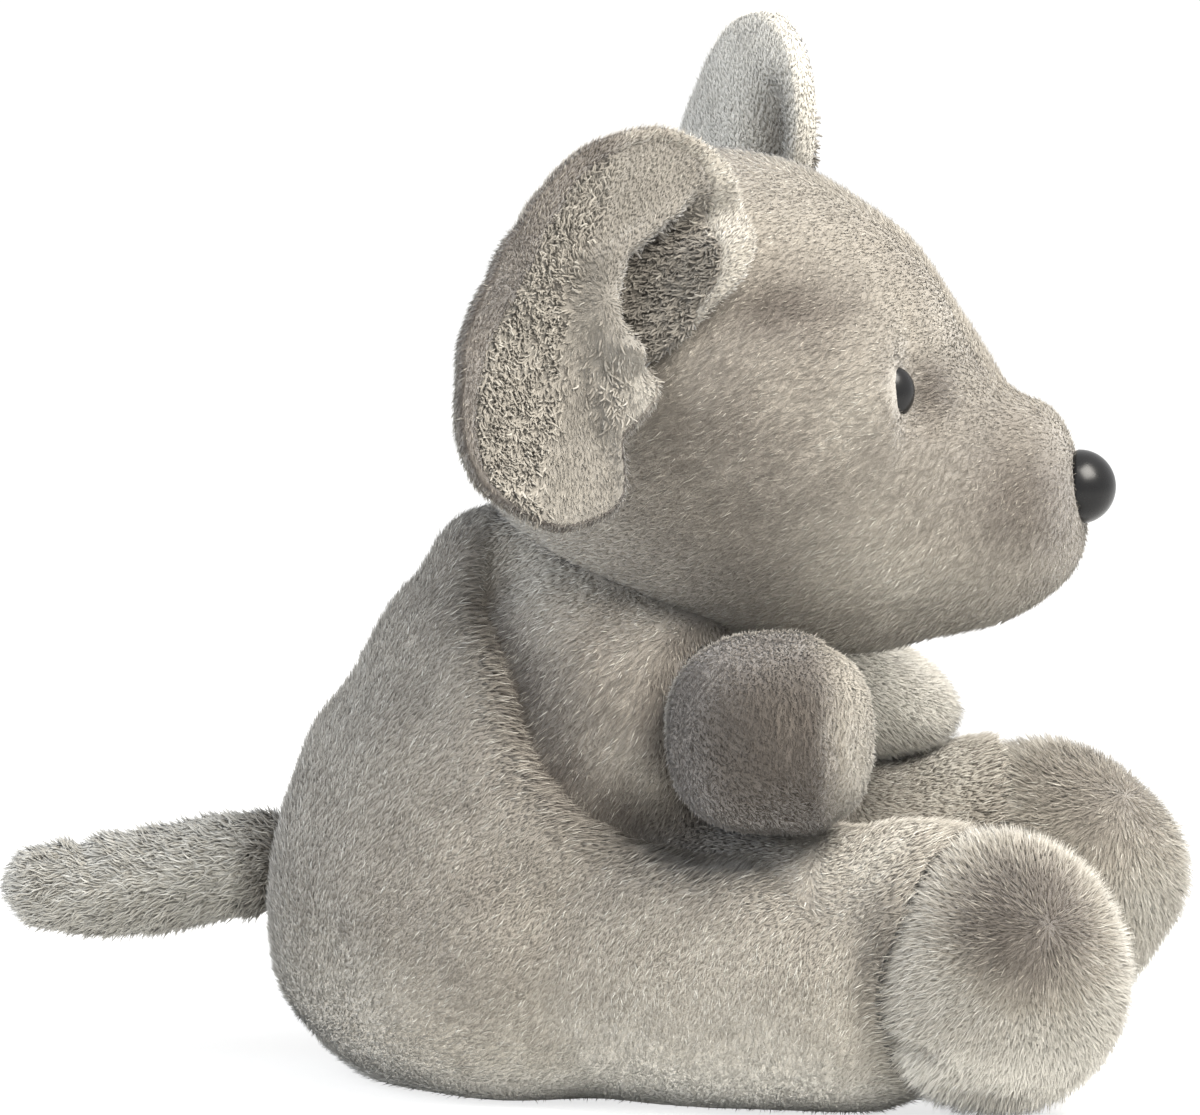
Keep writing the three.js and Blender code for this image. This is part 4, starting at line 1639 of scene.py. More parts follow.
class EarShape:
    """The outline and the cup of an ear, in its own directions: back from its seam, up along it and out."""

    MIDDLE = np.array([16.0, -1.0])
    # Places round the edge, back and up
    OUTLINE = (
        (3.7, 22), (9.6, 21.3), (14, 19.9), (18.5, 16.4), (23, 11.4), (27.4, 5.9), (30.7, 1), (32.9, -5),
        (33.6, -9.6), (33.3, -14.5), (32.2, -17.8), (29.8, -19.6), (26.6, -21.6), (23, -23.2),
        (19.4, -22.7), (16.6, -21.8), (14.8, -20.6), (13.8, -17.8), (13.8, -15), (13, -12.8),
        (10.2, -10.6), (8.2, -8.6), (7.6, -6.4), (7.8, -4.4), (6, -3.2), (2.9, -1.2), (1, 0.9),
        (-0.8, 2.4), (-3.6, 4.7), (-5.2, 9.8), (-5, 13.8), (-3.8, 17), (-1.7, 19.4), (1, 20.9),
    )  # fmt: skip
    # Degrees round the middle, and how far the lining stops short of the edge there
    INSET = (
        (-180, 0.4), (-60, 0.4), (-50, 1.2), (-38, 2.6), (-25, 3.4), (-16, 3.9), (5, 4.5), (27, 4.6),
        (65, 4.6), (84, 4.2), (93, 3.5), (103, 2.4), (120, 1.6), (130, 1.8), (140, 3.0), (148, 4.4),
        (160, 4.0), (168, 2.5), (174, 1.0), (180, 0.4),
    )  # fmt: skip
    # How far back the crease is at each height up the seam
    CREASE = ((-3.2, 8.2), (0.4, 9.4), (4, 9.3), (8, 7.9), (12, 1.6), (16, -2.0))
    # How far back the curls start at each height up the seam
    CURLS = ((-17, 25.4), (-10.7, 20.8), (1, 17.5), (10.9, 13.4), (19.9, 11.4))
    SIDES = 176
    RINGS = 34

    def __init__(self, place: EarPlace, head: "Head") -> None:
        """Works out the ear's directions and edge.

        Args:
            place: where the ear is sewn on.
            head: the head that it is sewn to.
        """
        self.place = place
        turn = math.radians(place.lean)
        flat_out = heading(90 - place.splay, 0, place.side)
        self.back = heading(180 - place.splay, 0, place.side)
        self.up = unit(UP * math.cos(turn) - flat_out * math.sin(turn))
        self.out = flat_out * math.cos(turn) + UP * math.sin(turn)
        self.origin = head.point(place.share, place.angle, place.side)
        self.turns = np.linspace(-math.pi, math.pi, self.SIDES, endpoint=False)
        edge = np.array(self.OUTLINE) - self.MIDDLE
        around = np.arctan2(edge[:, 1], edge[:, 0])
        order = np.argsort(around)
        reach = np.interp(self.turns, around[order], np.linalg.norm(edge, axis=1)[order], period=2 * math.pi)
        for _ in range(3):
            reach = (np.roll(reach, 1) + 2 * reach + np.roll(reach, -1)) / 4
        self.reach = reach
        inset = np.array(self.INSET)
        self.lining_reach = reach - np.interp(np.degrees(self.turns), inset[:, 0], inset[:, 1])

    def flat(self, points: Array) -> tuple[Array, Array]:
        """How far back and up each point is."""
        local = points - self.origin
        return local @ self.back, local @ self.up - self.place.rise

    def world(self, back: Array, up: Array, out: Array) -> Array:
        """Points from their own three distances.

        Args:
            back: distances back from the seam.
            up: distances up along it.
            out: distances out.

        Returns:
            The points.
        """
        return (
            self.origin
            + back[..., None] * self.back
            + (up + self.place.rise)[..., None] * self.up
            + out[..., None] * self.out
        )

    def past_crease(self, back: Array, up: Array) -> tuple[Array, Array]:
        """How far a place is behind the crease, and how deep the crease is at its height."""
        crease = np.array(self.CREASE)
        return back - np.interp(up, crease[:, 0], crease[:, 1]), fade(up, 16, 9) * fade(up, -8, -3.5)

    def cup(self, back: Array, up: Array, share: Array) -> Array:
        """How far out the lining's face is.

        Args:
            back: distances back from the seam.
            up: distances up along it.
            share: how near to the edge each place is, from 0 to 1.

        Returns:
            The distances out.
        """
        if self.place.side is Side.LEFT:
            # This ear isn't folded over: it is nearly flat, with a hollow behind its front rim.
            hollow = hump(back - 2.0 + 0.15 * up, 3.0) * fade(up, 18, 9)
            return -3.8 + 1.8 * share**2 + 3.0 * hollow * fade(share, 1.0, 0.75)
        past, depth = self.past_crease(back, up)
        spots = np.stack([back, up, 0 * up], axis=-1)
        flat = fade(back, 18, 11) * fade(up, -1, -6) * fade(up, -20, -13)
        bowl = -3.4 + 5.4 * share**2 * (1 - 0.6 * flat)
        bowl = bowl + 0.25 * lumps(spots.reshape(-1, 3), 9, 3).reshape(back.shape)
        bowl = bowl + depth * 2.6 * hump(past - 2.6, 2.2) * fade(up, -9, -3)
        lobe = np.exp(-0.5 * (((back - 10.5) / 3.2) ** 2 + ((up + 8.5) / 4) ** 2))
        wall = -4.6 + 8.4 * fade(-past, -0.5, 13)
        step = depth * fade(past, 1.5, 0.1)
        return bowl + 2.2 * lobe + step * (wall - bowl)

    def slab(self, reach: Array, top: Callable, bottom: Callable, floor: Callable) -> Surface:
        """Makes a closed slab that follows the cup.

        Args:
            reach: its edge's distance from the middle, at each turn.
            top: gives the height of its face over the cup, from the share of the ear's own reach.
            bottom: gives the height of its back.
            floor: gives how far out it has to stay, to be clear of the head.

        Returns:
            The surface.
        """
        shares = np.linspace(0, 1, self.RINGS + 1)[1:] ** 0.85
        rows = [(share, 0.0) for share in shares] + [(1.0, blend) for blend in (0.25, 0.5, 0.75)]
        rows += [(share, 1.0) for share in shares[::-1]]
        rings = []
        for share, blend in rows:
            radius = reach * share + 0.45 * math.sin(math.pi * blend)
            back = self.MIDDLE[0] + radius * np.cos(self.turns)
            up = self.MIDDLE[1] + radius * np.sin(self.turns)
            part = np.clip(radius / self.reach, 0, 1)
            base = self.cup(back, up, part)
            high, low = base + top(part), base + bottom(part)
            clear = floor(back, up)
            low = np.maximum(low, clear)
            high = np.maximum(high, low + 0.8)
            rings.append(self.world(back, up, high + blend * (low - high)))
        ends = [ring.mean(axis=0) for ring in (rings[0], rings[-1])]
        stack = np.array(rings)
        if self.place.side is Side.LEFT:
            stack = stack[:, ::-1]
        return skin(ends[0], stack, ends[1])


class Ear(SoftPiece):
    """One layer of an ear."""

    fill = 0.2
    # The last word of the piece's name, and that of the solid it stands for
    layer = "cover"
    node = "back"

    def __init__(self, place: EarPlace, head: "Head") -> None:
        """Keeps the place.

        Args:
            place: where the ear is sewn on.
            head: the head that it is sewn to.
        """
        super().__init__()
        self.place = place
        self.head = head
        self.body = f"{place.side.label}_ear"
        self.name = f"{self.body}_{self.layer}"
        self.nodes = (f"{self.body}_{self.node}",)
        self.seed = type(self).seed + place.side.value
        self.shape = EarShape(place, head)

    def clearance(self, back: Array, up: Array) -> Array:
        """How far out the head reaches under the ear, with room to press the ear in.

        Args:
            back: distances back from the seam.
            up: distances up along it.

        Returns:
            The distances out.
        """
        # Each ray starts well outside the ear, and one that misses the head sets no limit.
        far, no_limit = 30.0, -100.0
        start = self.shape.world(back, up, np.full(back.shape, far))
        tree = self.head.tree()
        reach = []
        for point in start.reshape(-1, 3):
            spot, _, _, distance = tree.ray_cast(Vector(point * MM), Vector(-self.shape.out))
            reach.append(no_limit if spot is None else far - distance / MM)
        room = 0.5 + 0.055 * np.maximum(back, 0) + 0.25 * np.maximum(-back, 0)
        return np.array(reach).reshape(back.shape) + room


class EarBack(Ear):
    """The plush layer, with the rim that shows round the lining."""

    pile = RIM_PILE
    seed = 70

    def form(self) -> None:
        """Builds the cover."""
        shape = self.shape
        lined = shape.lining_reach / shape.reach

        def top(part: Array) -> Array:
            """Low under the lining and proud at the rim."""
            return -1.2 + 1.3 * fade(part - lined, -0.02, 0.03)

        slab = shape.slab(shape.reach, top, lambda part: -3.2 + 0.9 * part**4, self.clearance)
        self.cover = slab.to_object(self.name)

    def flow(self, points: Array, normals: Array) -> Array:
        """Out from the middle of the near ear, and up the far one."""
        out = points - self.shape.world(*self.shape.MIDDLE, np.zeros(1))
        return out + np.array([0, 0, -4.0 if self.place.side is Side.RIGHT else 26.0])

    def bare(self, points: Array, normals: Array) -> Array:
        """Under the lining.

        Args:
            points: places on the form.
            normals: directions out of it.

        Returns:
            One value for each place.
        """
        shape = self.shape
        back, up = shape.flat(points)
        around = np.arctan2(up - shape.MIDDLE[1], back - shape.MIDDLE[0])
        far = np.hypot(up - shape.MIDDLE[1], back - shape.MIDDLE[0])
        edge = np.interp(around, shape.turns, shape.lining_reach, period=2 * math.pi)
        return fade(far - edge, 0.3, -0.4) * fade(normals @ shape.out, -0.1, 0.3)

    def shade(self, points: Array, normals: Array) -> Array:
        """Painted light over the backs of both ears, lighter at the front rim, a darker band round the
        lining, and painted shade in the far ear's hollow.

        Args:
            points: places on the form.
            normals: directions out of it.

        Returns:
            One value for each place.
        """
        back, up = self.shape.flat(points)
        facing = fade(normals @ self.shape.out, -0.5, 0.3)
        if self.place.side is Side.LEFT:
            # The far ear is painted light all over its back, with painted shade in the hollow behind its
            # front rim and a darker band round the lining where it faces out.
            hollow = hump(back - 1.0 + 0.3 * (up - 8), 2.8) * fade(up, 19, 8)
            return 0.5 - 0.5 * hollow - 0.3 * facing * fade(back, 6, 13)
        # Painted light on the back where it faces away, a darker band round the lining where it faces out,
        # and a lighter front rim.
        return 0.2 * fade(back, 4, -2) + fade(back, 6, 13) * (0.2 - 0.54 * facing)


class EarLining(Ear):
    """The fleece layer, with curls along the back and in the fold."""

    slot = "ear_lining"
    layer = "fleece"
    node = "lining"
    plush = EAR_FLEECE
    seed = 74

    def clearance(self, back: Array, up: Array) -> Array:
        """Clear of the head and of the other layer's least thickness."""
        return super().clearance(back, up) + 0.9

    def form(self) -> None:
        """Builds the cover."""
        shape = self.shape
        self.cover = shape.slab(
            shape.lining_reach, lambda part: 0 * part, lambda part: -1.1 + 0 * part, self.clearance
        ).to_object(self.name)

    def curls(self, points: Array, normals: Array) -> Array:
        """1 where the fleece is curled and 0 where it is smooth.

        Args:
            points: places on the form.
            normals: directions out of it.

        Returns:
            One value for each place.
        """
        shape = self.shape
        back, up = shape.flat(points)
        start = np.array(shape.CURLS)
        edge = np.interp(up, start[:, 0], start[:, 1])
        band = fade(back - edge, -2.5, 1.0)
        past, depth = shape.past_crease(back, up)
        patch = fade(past, 0.6, -0.4) * depth * fade(back, -3.4, -1.0)
        knot = 0.4 * hump(back - 13.6, 1.3) * hump(up + 8, 3)
        return np.clip(band + patch + knot, 0, 1) * fade(normals @ shape.out, -0.5, 0)

    def fine(self, points: Array, normals: Array) -> Array:
        """1 where the fleece is smooth."""
        return (1 - self.curls(points, normals)) * fade(normals @ self.shape.out, -0.6, -0.1)

    def coats(self) -> list[Coat]:
        """Curls, and a short fine pile between them."""
        return [
            Coat("curls", CURL_PILE, self.plush, self.curls),
            Coat("pile", FINE_PILE, self.plush, self.fine),
        ]

    def flow(self, points: Array, normals: Array) -> Array:
        """Out from the middle, and towards the crease in the fold.

        Args:
            points: places on the form.
            normals: directions out of it, which are not used.

        Returns:
            One vector for each place.
        """
        shape = self.shape
        back, up = shape.flat(points)
        past, depth = shape.past_crease(back, up)
        fold = (fade(past, 1.0, 0.0) * depth)[:, None]
        out = points - shape.world(np.full(1, 13.0), np.full(1, 3.0), np.zeros(1))
        return unit(out) * (1 - fold) + fold * (shape.back - 0.5 * shape.up)

    def shade(self, points: Array, normals: Array) -> Array:
        """Painted shade in the fold and painted light where the lower edge rolls out.

        Args:
            points: places on the form.
            normals: directions out of it.

        Returns:
            One value for each place.
        """
        shape = self.shape
        back, up = shape.flat(points)
        past, depth = shape.past_crease(back, up)
        # Painted shade in the fold and painted light on the rolled lobe; the curls are a little darker and
        # the lowest part a little lighter.
        fold = fade(past, 0.8, 0.0) * depth * fade(back, -3, 0.5)
        lobe = np.exp(-0.5 * (((back - 10) / 2.6) ** 2 + ((up + 8.5) / 4) ** 2))
        curled = self.curls(points, normals) * (1 - fold)
        return 0.05 + 0.3 * lobe - 0.28 * fold - 0.03 * curled + 0.05 * fade(up, -12, -20)


@dataclass
class ArmSizes:
    """Sizes of an arm past its round root."""

    length: float = 15.0
    swell: float = 11.5
    tip: float = 10.6
    # Degrees from the arm's own direction to where the palm faces
    palm_turn: float = 80


class Arm(SoftPiece):
    """A stub arm, whose pile is seen end-on at its round end and looks darker there, which is drawn as
    painted shade.
    """

    slot = "arm_plush"
    plush = SHEARED_PLUSH
    pile = ARM_PILE
    # Degrees from straight ahead to where each arm points, and up from level
    AIMS = {Side.RIGHT: (67, 0), Side.LEFT: (36, -1)}

    def __init__(self, side: Side, torso: TorsoSizes, sizes: ArmSizes) -> None:
        """Works out where the arm is and where its palm faces.

        Args:
            side: which side.
            torso: the body's sizes.
            sizes: its own sizes.
        """
        super().__init__()
        self.side = side
        self.sizes = sizes
        self.name = f"{side.label}_arm_cover"
        self.body = f"{side.label}_arm"
        self.nodes = (f"{side.label}_arm_skin", f"{side.label}_arm_filling")
        self.seed = 40 + side.value
        if side is Side.LEFT:
            # Seen from its side, the pile looks like the body's.
            self.plush, self.pile = GREY_PLUSH, SHORT_PILE
        self.root = torso.shoulder(side)
        self.radius = torso.arm_radius
        self.axis = heading(*self.AIMS[side], side)
        self.middle = self.root + sizes.length * self.axis
        # The palm faces ahead and inwards.
        ahead = unit(np.cross(UP, self.axis) * -side.value)
        turn = math.radians(sizes.palm_turn)
        self.palm = unit(ahead * math.sin(turn) + self.axis * math.cos(turn))

    def form(self) -> None:
        """Builds the cover."""
        s = self.sizes
        stations = half_ball(0, self.radius, self.radius, -1)
        stations.append([s.length * 0.4, self.radius + 0.65 * (s.swell - self.radius)])
        stations.append([s.length * 0.7, s.swell])
        stations += half_ball(s.length, s.swell, s.tip, 1)[1:]
        self.cover = limb_loft(self.root, self.axis, np.array(stations)).to_object(self.name)
        remesh(self.cover, 0.7)
        relax(self.cover, 3)
        self._sculpt()

    def around_palm(self, points: Array) -> Array:
        """Degrees from the middle of the palm, as seen from the middle of the round end."""
        way = unit(points - self.middle)
        return np.degrees(np.arccos(np.clip(way @ self.palm, -1, 1)))

    def _sculpt(self) -> None:
        """Squares the round end a little and draws in the palm's seam."""
        points, normals = read_points(self.cover), read_normals(self.cover)
        reach = (points - self.root) @ self.axis
        rest = points - self.root - reach[:, None] * self.axis
        level = unit(np.cross(UP, self.axis))
        way = unit(rest)
        sides = np.abs(way @ level) ** 3 + np.abs(way @ np.cross(self.axis, level)) ** 3
        squarer = 1 + (sides ** (-1 / 3) - 1) * 0.7 * fade(reach, 4, 12)
        points = points + rest * (squarer - 1)[:, None]
        turn = self.around_palm(points)
        seam = 0.3 * hump(turn - 70, 9) - 0.35 * hump(turn - 56, 6)
        push = 0.25 * lumps(points, 9, 5) + fade(reach, 7, 12) * seam - 0.3
        points = points + push[:, None] * normals
        if self.side is Side.LEFT:
            # This arm rests on the thigh, which spreads it ahead and draws its top down.
            far = fade(reach, 2, 20)
            slump = 0.3 * far + 0.018 * np.maximum(points[:, 0] - 25, 0)
            points[:, 2] -= slump * np.maximum(points[:, 2] - 32.6, 0)
            points[:, 0] += far * 0.5 * fade(points[:, 2], 44, 36)
        write_points(self.cover, points)

    def flow(self, points: Array, normals: Array) -> Array:
        """Towards the tip, and down."""
        return self.axis + np.array([0, 0, -0.6]) + 0 * points

    def shade(self, points: Array, normals: Array) -> Array:
        """Painted shade at the round end, and painted light on top and along the palm's seam; the far arm is
        painted light all over.

        Args:
            points: places on the form.
            normals: directions out of it, which are not used.

        Returns:
            One value for each place.
        """
        turn = self.around_palm(points)
        if self.side is Side.LEFT:
            # The far arm is painted light, a little less so on its side away from the palm.
            return 0.5 - 0.2 * fade(turn, 90, 110)
        # The near arm's round end, where its pile is seen end-on, is painted shade, deepest low down and
        # least on top, and the palm's seam is painted light.
        end = fade((points - self.root) @ self.axis, 4, 12) * fade(turn, 48, 84)
        top = fade(points[:, 2], self.middle[2] + 3, self.middle[2] + 11)
        low = fade(points[:, 2], self.middle[2], self.middle[2] - 9)
        seam = 0.16 * fade(turn, 60, 40)
        return seam - end * (0.56 + 0.06 * low - 0.22 * top)

    def rise(self, points: Array, normals: Array) -> Array:
        """Lower along the arm's sides, and standing all over the arm that is seen from its side."""
        if self.side is Side.LEFT:
            return 1.7 + 0 * points[:, 0]
        return 0.4 + 0.6 * fade(normals @ self.axis, 0.1, 0.6)

    def growth(self, points: Array, normals: Array) -> Array:
        """Longer on the arm that is seen from its side, above all where it rests on the thigh."""
        if self.side is Side.LEFT:
            return 1.35 + 0.4 * fade(normals[:, 2], -0.2, -0.7)
        return np.ones(len(points))


@dataclass
class FootSizes:
    """Sizes of a foot past its round back."""

    sole_reach: float = 14.2
    # Degrees from straight ahead and up from level, to where the sole faces
    sole_bearing: float = 44
    sole_rise: float = 30


class Foot(SoftPiece):
    """A round foot with a flatter sole."""

    plush = FACE_PLUSH
    pile = FOOT_PILE
    # Degrees from straight ahead and up from level, to where the pile starts out from
    WHORLS = {Side.RIGHT: (52, 31), Side.LEFT: (-32, 41)}
    # Wrinkles low on the outer side, from the foot's middle
    WRINKLES = np.array([[[-11, -10, -7], [-7, -13, -8]], [[-4, -9, -12], [3, -8, -13.5]]])

    def __init__(self, side: Side, torso: TorsoSizes, sizes: FootSizes) -> None:
        """Works out where the foot is and where its sole faces.

        Args:
            side: which side.
            torso: the body's sizes.
            sizes: its own sizes.
        """
        super().__init__()
        self.side = side
        self.sizes = sizes
        self.name = f"{side.label}_foot_cover"
        self.body = f"{side.label}_foot"
        self.nodes = (f"{side.label}_foot_skin", f"{side.label}_foot_filling", f"{side.label}_foot_sole")
        self.seed = 50 + side.value
        self.middle = torso.foot(side)
        self.radius = torso.foot_radius
        self.axis = heading(sizes.sole_bearing, sizes.sole_rise, side)
        self.whorl = self.middle + self.radius * heading(*self.WHORLS[side], side)

    def form(self) -> None:
        """Builds the cover."""
        stations = half_ball(0, self.radius, self.radius, -1)
        stations += half_ball(0, self.radius, self.sizes.sole_reach, 1)[1:]
        self.cover = limb_loft(self.middle, self.axis, np.array(stations)).to_object(self.name)
        remesh(self.cover, 0.7)
        relax(self.cover, 3)
        points, normals = read_points(self.cover), read_normals(self.cover)
        push = 0.25 * lumps(points, 9, 6) - 0.7 - 1.2 * self.wrinkled(points)
        points = points + push[:, None] * normals
        if self.side is Side.LEFT:
            # This foot is stuffed fuller at its front, and the other one taller.
            points[:, 0] += 1.5 * fade(normals[:, 0], -0.3, 0.8) * fade(points[:, 2], 8, 20)
        else:
            points[:, 2] += 0.05 * np.maximum(points[:, 2] - self.middle[2], 0)
        write_points(self.cover, points)

    def wrinkled(self, points: Array) -> Array:
        """1 in the middle of a wrinkle, falling to 0 beside it.

        Args:
            points: places on the form.

        Returns:
            One value for each place.
        """
        deep = np.zeros(len(points))
        for line in self.WRINKLES:
            path = self.middle + line * [1, -self.side.value, 1]
            deep = np.maximum(deep, hump(path_distance(points, path), 1.1))
        return deep

    def from_whorl(self, points: Array) -> Array:
        """Distance from where the pile starts out from."""
        return np.linalg.norm(points - self.whorl, axis=1)

    def flow(self, points: Array, normals: Array) -> Array:
        """Away from the whorl."""
        return points - self.whorl

    def shade(self, points: Array, normals: Array) -> Array:
        """Painted shade in a patch beside the whorl inside a painted light rim, with painted light low down
        and painted shade in the wrinkles.

        Args:
            points: places on the form.
            normals: directions out of it, which are not used.

        Returns:
            One value for each place.
        """
        # Painted shade in a patch beside the whorl, stronger on the near foot, a painted light ring round
        # the sole, painted light low down where the floor would light the foot, and painted shade in the
        # wrinkles.
        patch = (points - self.whorl - np.array([-4.0, 0, 0.4])) / [10, 12, 9.5]
        painted_whorl_shade = np.exp(-0.9 * np.sum(patch**2, axis=1) ** 2)
        rim = hump(self.from_whorl(points) - 14, 3)
        strength = 1.0 if self.side is Side.RIGHT else 0.6
        low = 0.3 * fade(points[:, 2], 14, 5)
        return 0.2 + low - 0.56 * strength * painted_whorl_shade + 0.12 * rim - 0.25 * self.wrinkled(points)

    def rise(self, points: Array, normals: Array) -> Array:
        """Standing at the rim of the sole and where the foot is sewn on."""
        far = self.from_whorl(points)
        return 1 + 1.4 * hump(far - 13, 3.5) + 0.9 * fade(far, 19, 23)

    def growth(self, points: Array, normals: Array) -> Array:
        """Longer at the rim of the sole and over the seam."""
        far = self.from_whorl(points)
        return 1 + 0.4 * hump(far - 13, 3.5) + 0.5 * fade(far, 19, 23)


@dataclass
class TailSizes:
    """Sizes of the tail past its round root."""

    length: float = 25.5
    tip_radius: float = 5.1
    # How far the tip hangs below the root
    drop: float = 3.3


class Tail(SoftPiece):
    """The short round tail."""

    name = "tail_cover"
    body = "tail"
    slot = "tail_plush"
    nodes = ("tail_skin", "tail_filling")
    plush = TAIL_FLEECE
    pile = FLEECE_PILE
    seed = 60

    def __init__(self, torso: TorsoSizes, sizes: TailSizes) -> None:
        """Keeps the sizes.

        Args:
            torso: the body's sizes.
            sizes: its own sizes.
        """
        super().__init__()
        self.sizes = sizes
        self.root = torso.tail_root()
        self.radius = torso.tail_radius

    def form(self) -> None:
        """Builds the cover."""
        s = self.sizes
        reach = np.array([-s.length, 0, -s.drop])
        distance = float(np.linalg.norm(reach))
        stations = half_ball(0, self.radius, self.radius, -1)
        stations += half_ball(distance, s.tip_radius, s.tip_radius, 1)
        self.cover = limb_loft(self.root, reach / distance, np.array(stations)).to_object(self.name)
        remesh(self.cover, 0.6)
        relax(self.cover, 3)
        points, normals = read_points(self.cover), read_normals(self.cover)
        bend = np.array([-56.0, 0, 21.6])
        dent = hump((points - bend) @ unit(np.array([1.0, 0, 0.75])), 1.0) * fade(points[:, 2], 20, 25)
        full = fade(points[:, 0], -64, -56)
        push = 0.2 * lumps(points, 6, 7) - 0.7 + 0.9 * full - 0.7 * dent
        points = points + push[:, None] * normals
        points[:, 2] -= 0.8 * hump(points[:, 0] + 53, 7)
        write_points(self.cover, points)

    def flow(self, points: Array, normals: Array) -> Array:
        """Towards the tip."""
        return np.array([-1.0, 0, -0.1]) + 0 * points

    def shade(self, points: Array, normals: Array) -> Array:
        """Painted shade where it is sewn on, and painted light over the rest."""
        return 0.15 - 0.4 * fade(points[:, 0], -42, -38)


# Beads and hidden parts


@dataclass(frozen=True)
class Gloss:
    """Moulded plastic: a deep colour under a clear soft shine."""

    name: str
    colour: str
    roughness: float

    def material(self) -> bpy.types.Material:
        """Makes or fetches the material."""
        found = bpy.data.materials.get(self.name)
        if found:
            return found
        made = blank_material(self.name)
        tree = made.node_tree
        place = put(tree, "ShaderNodeTexCoord").outputs["Object"]
        # The moulded skin is a little uneven, which softens the edge of the highlight.
        dents = {"Vector": place, "Scale": DENTS_PER_MM / MM, "Detail": 2.0}
        uneven = put(tree, "ShaderNodeTexNoise", dents).outputs["Fac"]
        bump = put(tree, "ShaderNodeBump", {"Height": uneven, "Strength": 0.15, "Distance": 0.1 * MM})
        # Fine scratches and dust dull the shine in places.
        dull = put(
            tree,
            "ShaderNodeMapRange",
            {"Value": uneven, "To Min": self.roughness - 0.05, "To Max": self.roughness + 0.08},
        )
        shader = put(
            tree,
            "ShaderNodeBsdfPrincipled",
            {
                "Base Color": linear(self.colour),
                "Roughness": dull.outputs[0],
                "IOR": 1.5,
                "Specular IOR Level": 0.3,
                "Normal": bump.outputs["Normal"],
            },
        )
        put(tree, "ShaderNodeOutputMaterial", {"Surface": shader.outputs["BSDF"]})
        return made


# Deep black with a small soft highlight, which gives the eyes and the nose their life
BLACK_BEAD = Gloss("black_moulded_plastic", colour="111112", roughness=0.27)
# Dull white nylon, which stands out from the cloth when the mouse is taken apart
WHITE_WASHER = Gloss("white_nylon_washer", colour="d8d8d2", roughness=0.45)
# Matt thread in the coat's own tone, which the eye passes over
SEWING_THREAD = Gloss("grey_sewing_thread", colour="8b857c", roughness=0.75)


@dataclass
class BeadSizes:
    """Sizes of a bead: half width, half height, the dome's reach out of the cloth, and its back's depth."""

    half_width: float
    half_height: float
    dome: float
    back: float
    stem: float = 2.2


def bead(name: str, foot: Array, axis: Array, sizes: BeadSizes) -> Object:
    """Makes a domed bead with its stem inside the cloth.

    Args:
        name: the CAD node that it replaces, which also names it.
        foot: the middle of its flat back.
        axis: the unit direction out of the cloth.
        sizes: its sizes.

    Returns:
        The bead.
    """
    across = unit(np.cross(UP, axis))
    up = np.cross(axis, across)
    stem_end = -sizes.back - sizes.stem
    rows = [(stem_end, 0.0), (stem_end, 0.22), (-sizes.back, 0.22), (-sizes.back, 0.86), (-0.2, 1.0)]
    turns = np.linspace(0, math.pi / 2, 19)
    rows += [(sizes.dome * math.sin(turn), math.cos(turn)) for turn in turns]
    table = np.array(rows)
    middles, share = foot + table[:, :1] * axis, table[:, 1:]
    surface = loft(middles, share * sizes.half_width * across, share * sizes.half_height * up, 64)
    made = surface.to_object(f"{name}_bead")
    smooth_shade(made)
    made.data.materials.append(BLACK_BEAD.material())
    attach(made, "head")
    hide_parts(name)
    return made


NOSE_SIZES = BeadSizes(half_width=4.6, half_height=4.3, dome=4.2, back=1.2)
EYE_SIZES = BeadSizes(half_width=2.8, half_height=3.0, dome=2.0, back=0.8)


def dress_small_parts(head: Head) -> None:
    """Makes the beads, and gives the parts inside the cloth their finish.

    Args:
        head: the head that the beads sit in.
    """
    sizes = head.sizes
    bead("nose", head.nose() + np.array([-0.5, 0, 0.5]), np.array([1.0, 0, 0]), NOSE_SIZES)
    for side in Side:
        out = head.out(sizes.eye_share, sizes.eye_angle, side)
        foot = head.point(sizes.eye_share, sizes.eye_angle, side) - 1.3 * out
        bead(f"{side.label}_eye", foot, heading(40, 2, side), EYE_SIZES)
    for name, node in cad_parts.items():
        finish = WHITE_WASHER if "washer" in name else SEWING_THREAD if "thread" in name else None
        if finish:
            node.data.materials.clear()
            node.data.materials.append(finish.material())


# Studio


def seen_rays(tree: bpy.types.NodeTree) -> Socket:
    """1 on rays that show the background, also in reflections, and 0 on rays that gather its light.

    Args:
        tree: a shader tree.

    Returns:
        A socket that tells the two kinds of ray apart.
    """
    path = put(tree, "ShaderNodeLightPath").outputs
    seen = path["Is Camera Ray"]
    for kind in ("Is Glossy Ray", "Is Transmission Ray"):
        seen = put(tree, "ShaderNodeMath", {0: seen, 1: path[kind]}, operation="MAXIMUM").outputs[0]
    return seen


